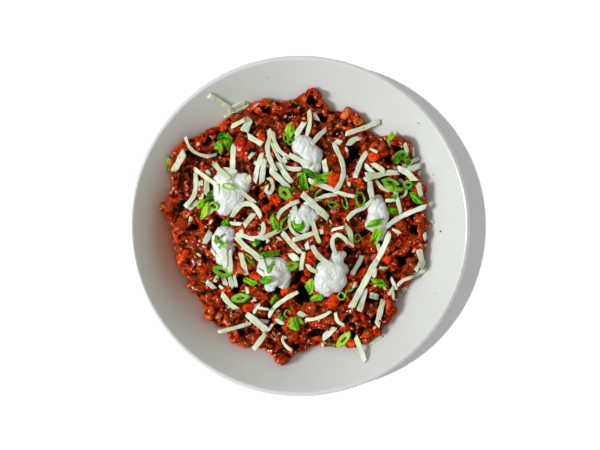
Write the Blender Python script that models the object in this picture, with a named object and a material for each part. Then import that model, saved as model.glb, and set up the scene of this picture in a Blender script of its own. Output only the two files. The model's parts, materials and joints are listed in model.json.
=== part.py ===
"""A white coupe bowl of chili con carne, heaped up and spotted with spoonfuls of sour cream.

Metres, +Z up, +Y towards the back of the table. The origin is the middle of the foot ring, where
it stands on the table. The bowl is turned from one profile. The heap is a disc pulled out to the
chili's uneven edge: its underside follows the bowl and its top is a low dome with hollows and
lumps of meat. Each spoonful of cream sits in a shallow seat pressed into the heap.
"""

import math
import random

import bmesh
import bpy
import numpy as np

MM = 0.001

# The bowl.
RIM_RADIUS = 105 * MM
BOWL_HEIGHT = 50 * MM
WALL = 3.4 * MM
FLOOR_MIDDLE = 7.2 * MM  # height of the middle of the floor's thickness
FLAT_RADIUS = 40 * MM  # the floor is flat out to here
WALL_CURVE = 1.8  # how late the wall turns upwards
FOOT_RADIUS = 40 * MM
FOOT_WIDTH = 4 * MM
FOOT_BEVEL = 0.8 * MM
BOWL_SEGMENTS = 60
WALL_STATIONS = 8
LIP_STATIONS = 4
MERGE = 0.001 * MM  # points nearer than this are one
SMOOTH_BELOW = 40  # degrees: a sharper edge is shaded sharp

# The heap of chili.
HEAP_REACH = 80 * MM  # radius of the heap, before its edge swells or draws in
HEAP_TOP = 36.5 * MM  # height of the dome's middle, under the lumps
HEAP_EDGE = 7.5 * MM  # how high the chili stands against the bowl just inside its edge
HEAP_SHOULDER = 0.86  # share of the radius where the edge starts to round over
SHOULDER_RADIUS = 70.4 * MM  # where the bowl's height sets the shoulder's height
DOME_POWER = 2.4  # higher is flatter in the middle
HEAP_CELLS = 40  # cells across the top
UNDERSIDE_RINGS = (1.0, 0.85, 0.7, 0.5)  # shares of the outline's radius, going in underneath
THINNEST = 1.2 * MM  # thickness of the chili at its edge
EDGE_FADE = 0.1  # share of the radius over which the lumps die out at the edge
GAP = 0.5 * MM  # between pieces that touch in the real bowl

LUMP_SPACING = 10.5 * MM
LUMP_ROW = 0.87  # spacing of the rows, as a share of the spacing along a row
LUMP_JITTER = 0.25
LUMP_RISE = 4.0 * MM
LUMP_WIDTHS = (0.55, 0.8)  # radius as a share of the spacing
LUMP_HEIGHTS = (0.5, 1.3)  # as a share of the rise

# Where the edge swells out or draws in, as (degrees round from +X, millimetres, width in degrees).
SWELLINGS = (
    (38, 7, 6), (52, -6, 8), (75, -8, 5), (84, 7, 5), (101, -3, 5), (128, 1, 12), (151, 8, 11),
    (172, 6, 5), (217, -3, 6), (226, 3, 5), (243, 4, 5), (262, 5, 5), (277, -4, 7), (303, 4, 7),
    (327, -9, 8),
)

# Hollows between the clumps, as (x, y, radius, depth) in millimetres.
HOLLOWS = (
    (-36, -34, 8, 5.0), (3, -43, 9, 5.0), (36, -23, 8, 4.5), (-9, -37, 5, 3.0),
    (33, 42, 8, 4.0), (14, 66, 7, 3.0), (-58, 4, 7, 3.0), (-28, 14, 7, 3.0),
    (46, -47, 7, 3.0), (-22, -62, 7, 3.0), (66, -20, 6, 3.0), (-10, 17, 6, 2.5),
)

# Spoonfuls of cream, as (x, y, half width, half length, turn in degrees, rise), in millimetres.
DOLLOPS = {
    "cream_back": (5, 45.5, 8.2, 12.0, 20, 7.5),
    "cream_left": (-44, 21.5, 10.0, 14.0, 8, 8.0),
    "cream_left_front": (-49, -12.5, 7.2, 12.5, 6, 6.5),
    "cream_front": (-16, -30, 10.0, 11.0, 30, 7.6),
    "cream_right_front": (20, -29.5, 9.6, 14.6, -28, 7.5),
    "cream_middle": (2.5, 4.5, 9.6, 8.6, 0, 6.0),
    "cream_right": (49, 6, 7.4, 13.6, 6, 7.5),
}
SEAT_DIP = 1.2 * MM  # how deep a spoonful presses into the heap
SEAT_MARGIN = 1.28  # the seat's reach as a share of the cream's half sizes
SEAT_FADE = 0.2  # how far past that the lumps come back, as such a share
CREAM_EDGE = 1.6 * MM  # thickness of the cream's rounded foot
CREAM_SIDES = 14
CREAM_RINGS = 9
CREAM_FOLDS = ((3, 0.06), (5, 0.04))  # folds round the foot, each (count, share of the size)
CROWN_FOLD = 0.12  # how uneven the top is, as a share of the rise

# Finishes, as (colour, roughness).
GLAZE = ((0.74, 0.75, 0.74), 0.2)
CHILI = ((0.30, 0.05, 0.015), 0.35)
CREAM = ((0.86, 0.87, 0.86), 0.3)


def clear_scene():
    for thing in list(bpy.data.objects):
        bpy.data.objects.remove(thing)


def finish_material(name, colour, roughness):
    material = bpy.data.materials.new(name)
    material.use_nodes = True
    shader = material.node_tree.nodes["Principled BSDF"]
    shader.inputs["Base Color"].default_value = (*colour, 1)
    shader.inputs["Roughness"].default_value = roughness
    shader.inputs["Metallic"].default_value = 0
    return material


def add_object(name, mesh_maker, material):
    """Closes a bmesh into an object of that name, faces out, shaded smooth where it is round."""
    mesh = bpy.data.meshes.new(name)
    bmesh.ops.recalc_face_normals(mesh_maker, faces=mesh_maker.faces)
    mesh_maker.to_mesh(mesh)
    mesh_maker.free()
    mesh.materials.append(material)
    mesh.shade_smooth()
    mesh.set_sharp_from_angle(angle=math.radians(SMOOTH_BELOW))
    made = bpy.data.objects.new(name, mesh)
    bpy.context.scene.collection.objects.link(made)
    return made


def wall_middle(share):
    """(radius, height, slope) of the middle of the wall, from the flat floor (0) to the lip (1)."""
    reach = RIM_RADIUS - WALL / 2 - FLAT_RADIUS
    climb = BOWL_HEIGHT - WALL / 2 - FLOOR_MIDDLE
    slope = math.atan(WALL_CURVE * climb / reach * share ** (WALL_CURVE - 1))
    return FLAT_RADIUS + reach * share, FLOOR_MIDDLE + climb * share**WALL_CURVE, slope


def wall_side(side):
    """The wall's stations on one face: side -1 is the inside and +1 the outside."""
    points = []
    for station in range(WALL_STATIONS + 1):
        radius, height, slope = wall_middle(station / WALL_STATIONS)
        offset = side * WALL / 2
        points.append((radius + offset * math.sin(slope), height - offset * math.cos(slope)))
    return points


def lip_arc():
    """The rounded lip, from the inside over the top to the outside."""
    radius, height, slope = wall_middle(1)
    points = []
    for station in range(1, LIP_STATIONS):
        angle = slope + math.pi / 2 - math.pi * station / LIP_STATIONS
        points.append((radius + WALL / 2 * math.cos(angle), height + WALL / 2 * math.sin(angle)))
    return points


def foot_ring():
    """The underside, from the wall in to the middle, with the foot ring that it stands on."""
    under = FLOOR_MIDDLE - WALL / 2
    inner = FOOT_RADIUS - FOOT_WIDTH
    return [
        (FOOT_RADIUS, under - FOOT_BEVEL),
        (FOOT_RADIUS - FOOT_BEVEL / 2, FOOT_BEVEL),
        (FOOT_RADIUS - FOOT_BEVEL, 0),
        (inner + FOOT_BEVEL, 0),
        (inner + FOOT_BEVEL / 2, FOOT_BEVEL),
        (inner, under - FOOT_BEVEL),
        (inner - FOOT_BEVEL, under),
        (0, under),
    ]


INSIDE = wall_side(-1)


def bowl_inside(radius):
    """Height of the bowl's inner face at a radius."""
    return float(np.interp(radius, [p[0] for p in INSIDE], [p[1] for p in INSIDE]))


def make_bowl():
    floor = [(0, INSIDE[0][1])]
    outside = wall_side(1)[:0:-1]
    profile = floor + INSIDE + lip_arc() + outside + foot_ring()
    turned = bmesh.new()
    points = [turned.verts.new((radius, 0, height)) for radius, height in profile]
    edges = [turned.edges.new(pair) for pair in zip(points, points[1:])]
    bmesh.ops.spin(
        turned, geom=points + edges, axis=(0, 0, 1), cent=(0, 0, 0),
        angle=2 * math.pi, steps=BOWL_SEGMENTS, use_merge=True, use_duplicate=False,
    )
    bmesh.ops.remove_doubles(turned, verts=turned.verts, dist=MERGE)
    return add_object("bowl", turned, finish_material("glazed white", *GLAZE))


def outline_radius(angle):
    """How far the heap reaches at an angle."""
    reach = HEAP_REACH
    for centre, swelling, width in SWELLINGS:
        away = (math.degrees(angle) - centre + 180) % 360 - 180
        reach += swelling * MM * math.exp(-((away / width) ** 2))
    return reach


def lump_centres():
    """Clumps of meat on a jittered lattice, each as (x, y, radius, rise)."""
    spread = random.Random(7)
    lumps = []
    count = int(RIM_RADIUS / LUMP_SPACING) + 1
    for row in range(-count, count + 1):
        for column in range(-count, count + 1):
            across = column + 0.5 * (row % 2) + spread.uniform(-LUMP_JITTER, LUMP_JITTER)
            along = row * LUMP_ROW + spread.uniform(-LUMP_JITTER, LUMP_JITTER)
            radius = LUMP_SPACING * spread.uniform(*LUMP_WIDTHS)
            rise = LUMP_RISE * spread.uniform(*LUMP_HEIGHTS)
            lumps.append((across * LUMP_SPACING, along * LUMP_SPACING, radius, rise))
    return np.array(lumps)


LUMPS = lump_centres()


def lump_rise(x, y):
    """Height of the highest clump over a point."""
    share = 1 - ((LUMPS[:, 0] - x) ** 2 + (LUMPS[:, 1] - y) ** 2) / LUMPS[:, 2] ** 2
    return float((LUMPS[:, 3] * np.sqrt(np.clip(share, 0, 1))).max())


def hollow_depth(x, y):
    depth = 0.0
    for centre_x, centre_y, radius, deep in HOLLOWS:
        away = math.hypot(x - centre_x * MM, y - centre_y * MM) / (radius * MM)
        depth = max(depth, deep * MM * math.exp(-away * away))
    return depth


def dollop_frame(place, x, y):
    """A point in a dollop's own frame, where its foot is the unit circle."""
    centre_x, centre_y, half_width, half_length, turn, _ = place
    cos, sin = math.cos(math.radians(turn)), math.sin(math.radians(turn))
    across = (x - centre_x * MM) * cos + (y - centre_y * MM) * sin
    along = -(x - centre_x * MM) * sin + (y - centre_y * MM) * cos
    return across / (half_width * MM), along / (half_length * MM)


def seat_share(x, y):
    """1 where a dollop presses the chili smooth, easing to 0 just outside it."""
    share = 0.0
    for place in DOLLOPS.values():
        away = math.hypot(*dollop_frame(place, x, y))
        fade = min(max((SEAT_MARGIN + SEAT_FADE - away) / SEAT_FADE, 0), 1)
        share = max(share, fade * fade * (3 - 2 * fade))
    return share


def dome_height(share, floor):
    """The heap's smooth top: share is 0 in the middle and 1 at the edge, floor the bowl's height."""
    edge = bowl_inside(SHOULDER_RADIUS) + HEAP_EDGE
    dome = edge + (HEAP_TOP - edge) * (1 - share**DOME_POWER)
    if share <= HEAP_SHOULDER:
        return dome
    over = (share - HEAP_SHOULDER) / (1 - HEAP_SHOULDER)
    rest = floor + GAP + THINNEST
    return rest + (max(dome, rest) - rest) * math.sqrt(max(1 - over * over, 0))


def heap_height(x, y):
    """Height of the heap's top over a point."""
    radius = math.hypot(x, y)
    share = min(radius / outline_radius(math.atan2(y, x)), 1)
    floor = bowl_inside(radius)
    fade = min(max((1 - share) / EDGE_FADE, 0), 1)
    relief = (lump_rise(x, y) - hollow_depth(x, y)) * fade
    seat = seat_share(x, y)
    height = dome_height(share, floor) + relief * (1 - seat) - SEAT_DIP * seat
    return max(height, floor + GAP + THINNEST)


def square_to_disc(u, v):
    """Maps the square of side 2 onto the unit disc with even cells."""
    if u == 0 and v == 0:
        return 0.0, 0.0
    if abs(u) > abs(v):
        radius, angle = u, math.pi / 4 * v / u
    else:
        radius, angle = v, math.pi / 2 - math.pi / 4 * u / v
    return radius * math.cos(angle), radius * math.sin(angle)


def make_heap():
    heap = bmesh.new()
    bmesh.ops.create_grid(heap, x_segments=HEAP_CELLS, y_segments=HEAP_CELLS, size=1)
    for point in heap.verts:
        across, along = square_to_disc(point.co.x, point.co.y)
        reach = outline_radius(math.atan2(along, across))
        x, y = across * reach, along * reach
        point.co = (x, y, heap_height(x, y))
    ring = [edge for edge in heap.edges if edge.is_boundary]
    for share in UNDERSIDE_RINGS:
        grown = bmesh.ops.extrude_edge_only(heap, edges=ring)["geom"]
        ring = [item for item in grown if isinstance(item, bmesh.types.BMEdge)]
        for point in (item for item in grown if isinstance(item, bmesh.types.BMVert)):
            angle = math.atan2(point.co.y, point.co.x)
            radius = outline_radius(angle) * share
            height = bowl_inside(radius) + GAP
            point.co = (radius * math.cos(angle), radius * math.sin(angle), height)
    bmesh.ops.holes_fill(heap, edges=ring, sides=0)
    return add_object("chili", heap, finish_material("chili", *CHILI))


def make_dollop(name, place, material):
    """A spoonful of cream: a ball flattened on its seat, with soft folds round it."""
    centre_x, centre_y, half_width, half_length, turn, rise = place
    cos, sin = math.cos(math.radians(turn)), math.sin(math.radians(turn))
    cream = bmesh.new()
    bmesh.ops.create_uvsphere(cream, u_segments=CREAM_SIDES, v_segments=CREAM_RINGS, radius=1)
    for point in cream.verts:
        ball = point.co.copy()
        angle = math.atan2(ball.y, ball.x)
        fold = 1 + sum(deep * math.sin(count * angle + centre_x) for count, deep in CREAM_FOLDS)
        across = ball.x * half_width * fold * MM
        along = ball.y * half_length * fold * MM
        x = centre_x * MM + across * cos - along * sin
        y = centre_y * MM + across * sin + along * cos
        height = heap_height(x, y) + GAP
        if ball.z < 0:
            height += CREAM_EDGE * (1 + ball.z)
        else:
            crown = 1 + CROWN_FOLD * math.sin(4 * ball.x + 3 * ball.y + centre_x)
            height += CREAM_EDGE + rise * MM * crown * ball.z
        point.co = (x, y, height)
    return add_object(name, cream, material)


def main():
    clear_scene()
    make_bowl()
    make_heap()
    cream = finish_material("sour cream", *CREAM)
    for name, place in DOLLOPS.items():
        make_dollop(name, place, cream)


main()
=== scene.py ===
"""Chili con carne in a white coupe bowl, with spoonfuls of sour cream, grated cheese and spring onion.

Metres, +Z up, +Y towards the back of the table. The bowl stands on the origin. Lengths in the tables and
in what the functions take are millimetres, apart from those of the floor, the lamps and the camera. Turns
are degrees anticlockwise from +X, seen from above.
"""

import functools
import itertools
import json
import math
import random

import bmesh
import bpy
import numpy as np
from mathutils import Euler, Matrix, Vector, noise
from mathutils.bvhtree import BVHTree
from mathutils.kdtree import KDTree

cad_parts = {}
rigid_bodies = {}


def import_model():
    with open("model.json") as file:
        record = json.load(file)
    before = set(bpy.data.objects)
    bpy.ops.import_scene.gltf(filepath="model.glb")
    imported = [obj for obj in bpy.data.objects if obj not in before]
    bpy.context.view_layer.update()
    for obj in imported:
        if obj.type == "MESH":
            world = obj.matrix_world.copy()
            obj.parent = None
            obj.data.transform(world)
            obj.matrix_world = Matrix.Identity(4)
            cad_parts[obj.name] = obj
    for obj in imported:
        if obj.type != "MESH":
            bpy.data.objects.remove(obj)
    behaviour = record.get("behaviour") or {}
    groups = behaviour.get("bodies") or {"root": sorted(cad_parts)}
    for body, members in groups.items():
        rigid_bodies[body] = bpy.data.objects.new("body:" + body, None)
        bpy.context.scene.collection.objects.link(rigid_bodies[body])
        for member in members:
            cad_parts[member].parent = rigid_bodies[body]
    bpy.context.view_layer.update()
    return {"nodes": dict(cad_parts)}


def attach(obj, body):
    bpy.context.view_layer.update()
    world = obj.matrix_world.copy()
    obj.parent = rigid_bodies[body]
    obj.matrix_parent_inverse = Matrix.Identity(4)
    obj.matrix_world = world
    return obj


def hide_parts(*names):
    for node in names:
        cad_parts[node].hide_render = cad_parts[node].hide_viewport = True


MM = 0.001
# A point and four round it.
CROSS = np.array(((0, 0), (1, 0), (-1, 0), (0, 1), (0, -1)))

# The bowl, as in the part.
RIM_RADIUS = 105.0
BOWL_HEIGHT = 50.0
WALL = 3.4
FLOOR_MIDDLE = 7.2
FLAT_RADIUS = 40.0
WALL_CURVE = 1.8
WALL_STATIONS = 30
BOWL_STEPS = 180
FOOT_RADIUS = 40.0
FOOT_WIDTH = 4.0
FOOT_BEVEL = 0.8
FOOT_DRAFT = 0.1
# Painted shade on the glaze beside the heap, reddened as by light bounced from the chili: direction, width
# in degrees, radius, width and share.
BOUNCE_SHADE = (187, 40, 84, 11, 0.9)

# The view from straight above: the camera's place in metres, its lens and the width of its sensor.
CAMERA_PLACE = (0.0003, 0.0006, 0.85)
LENS = 78.1
SENSOR = 36
FLOOR_HALF = 1.6  # half the side of the floor, in metres

# The height grid.
CELL = 0.6
REACH = 98.0  # half its side

# The heap.
CORE_VOXEL = 0.81
CORE_DROP = 2.2  # how far the core lies under the part's surface, for the clumps on it
CORE_SHRINK = 0.975
CLEARANCE = 0.4  # between the heap and the bowl
UNDERSIDE_CUT = 1.2  # nearer to the bowl than this the heap is coarse,
UNDERSIDE = 0.5  # and lies at this height
UNDERSIDE_RINGS = (0.985, 0.93, 0.8, 0.7, 0.8)  # the size of each ring of it, in shares of the last one's
CLUMPS = ((8.0, (3.6, 6.0), 0.75), (4.2, (1.9, 3.4), 0.9))  # spacing, radii, share that is kept
EDGE_RADII = (1.9, 3.6)
EDGE_SWELLS = (  # where the loose edge reaches further than the part: direction, distance, width in degrees
    (16, 2.5, 6), (75, 3, 4), (106, 3.5, 6), (134, 2, 6), (148, 4, 8), (264, 2, 5), (296, 2, 6),
    (316, 3, 6), (329, 4, 6),
)
STEEP_SIDE = (-5, 48)  # direction and half width in degrees of the steep side
SAUCE_DEPTH = 0.45  # how deep the creases are before sauce fills them
PIT_DEPTH = 2.6
EDGE_SHADE = 0.14  # painted shade and thinner sauce: how much darker the heap is where it thins out
# The chili finish paints shade near black in these hollows.
LEVEL_BLUR = 4.5  # what lies under the heights smoothed over this is hollow,
HOLLOW_START = 0.6  # from this far under them
HOLLOW_DEPTH = 3.4  # and in full this much lower
MINCE_POINTS = 15000

# Deep gaps between the clumps: (x, y, half width, half length, turn, depth).
GAPS = np.array((
    (-15.5, 67, 1.2, 4, 80, 3), (-1.5, 70, 2, 2.5, 0, 4), (14.5, 67.5, 2.8, 4.5, 75, 4),
    (15, 47, 2, 3, 0, 4), (12, 37, 2.5, 3, 0, 4), (-18.5, 16.5, 2.8, 3.2, 0, 5), (-28, 22, 2, 2, 0, 3),
    (2.5, 15.5, 1.8, 3.2, -60, 4), (5, -1.5, 2, 3, 30, 4), (11, -12, 2.5, 2.5, 0, 4),
    (-23, -12, 2.6, 4.5, 20, 6), (-13, -13.5, 2, 2.6, 0, 4), (37.5, -5, 4.5, 5, 0, 6),
    (39, -20, 5.5, 6, 60, 7), (27.5, 3, 3, 1.8, -30, 4), (40, 33, 2, 5, 70, 5), (72, -5, 2.4, 3.2, 0, 5),
    (66, -21, 3, 3.2, 0, 5), (34, 45, 4, 6, 70, 4), (39.5, 57, 2.6, 2, 0, 4), (30, 65.5, 3, 1.8, -20, 4),
    (45, -46.5, 2, 2.6, 0, 4), (25, -47, 3, 2, 0, 4), (43.5, -56.5, 1.6, 2, 0, 3), (31.5, -64, 1.8, 2, 0, 3),
    (57, -44, 2.4, 2, 0, 3), (3, -43, 5.2, 6, 60, 8), (-0.5, -34, 3, 6, 80, 6), (-13, -40, 3, 3.2, 0, 5),
    (-16, -55.5, 1.6, 3.4, 60, 4), (-13, -62, 3.2, 3.4, 0, 4), (11, -67, 3.2, 4, 0, 4),
    (-12, -77, 1.4, 4, 80, 4), (-68, 1, 2.6, 3.6, 80, 6), (-63.5, -4, 1.4, 2, 0, 4),
    (-57.5, -15.5, 1.6, 1.4, 0, 3), (-61, -21, 3, 3.4, 0, 3), (-76, 22, 0.9, 5, 100, 3),
    (-51.5, 4, 2.6, 5, 70, 5), (-73.5, 15.5, 1.4, 3, 40, 4), (-39.5, -36, 3, 6.5, 95, 8),
    (-38, -57, 3, 2.6, 0, 3), (-37, -33, 2, 3, 90, 5), (28, -13.5, 3, 2, 0, 4), (32, -18, 3, 3, 0, 5),
    (-58, 37, 3, 1.6, 0, 3), (-48, 46, 2.5, 3.6, 60, 3), (8, -41, 3, 2.5, 0, 5), (30.5, -28, 2.4, 5, 85, 5),
    (35.5, -39, 1.8, 4, 60, 4), (-26, 72, 1.8, 3, 60, 3), (57, 42, 2, 4, 70, 4), (55, 33, 3, 1.5, 0, 3),
))
GAP_SOFT = 1.25  # how much wider a gap is for its soft sides
NO_CLUMP = 1.5  # no clump lies over a gap deeper than this,
NO_MINCE = 2  # and no loose grain over this

# Each spoonful of cream's lobes: (x, y, height of the middle above the chili, radius).
LOBES = {
    "cream_back": (
        (2.5, 49.5, 2.4, 7.4), (6.5, 43.5, 2.8, 8), (7.5, 37.5, 1.6, 6.4), (-0.5, 53.5, 0.8, 4),
        (10.5, 45.5, 0.6, 4.6),
    ),
    "cream_left": (
        (-46, 27, 2.2, 8.4), (-45.5, 19, 2.8, 8.8), (-38, 26, 1.4, 7.4), (-41.5, 17, 2, 7.4),
        (-47, 11.5, 1.2, 5.6), (-50.5, 20, 0.8, 5), (-34.5, 29, 0.6, 4.4), (-47, 32, 0.6, 5),
    ),
    "cream_left_front": (
        (-47, -6, 1.8, 6.6), (-49, -11.5, 1.8, 6.4), (-46, -15, 1.4, 6), (-43.5, -4.5, 0.8, 4.4),
        (-51.5, -8, 0.6, 4.2), (-47.5, -20, 1, 5.2), (-45, -24.5, 0.6, 3.8),
    ),
    "cream_front": (
        (-20, -24, 1.8, 6.2), (-13.5, -26, 2.6, 7), (-16.5, -31, 2.4, 7), (-11, -31, 2, 6.2),
        (-10, -36, 1, 4), (-18.5, -37.5, 0.8, 4), (-23, -26, 0.6, 4.2),
    ),
    "cream_right_front": (
        (17, -28.5, 2.4, 7.2), (22, -27.5, 2.4, 7), (16.5, -35, 2.6, 7.6), (22, -34, 2.6, 7.6),
        (16.5, -40.5, 0.8, 4.4), (26.5, -28, 1, 5.2), (23.5, -20, 0.8, 4.6), (27, -18, 0.2, 2.6),
        (12.5, -37.5, 0.6, 4.2),
    ),
    "cream_middle": (
        (0, 5, 1.6, 5.8), (4.5, 9.5, 1.2, 5), (9, 7, 0.8, 4), (-3, 8, 0.6, 4.2), (2, 0, 0.8, 5),
        (5, 4, 1.4, 5),
    ),
    "cream_right": (
        (48.5, 11, 2.2, 6.4), (48.5, 4, 2.4, 6.8), (50.5, 7, 2.2, 5.8), (49.5, 16, 0.8, 4),
        (50.5, -1.5, 1.4, 5), (50, -6, 0.6, 3.8), (45, 1, 0.8, 4.2),
    ),
}
LOBE_FLAT = 0.72
CREAM_VOXEL = 0.45

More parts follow.
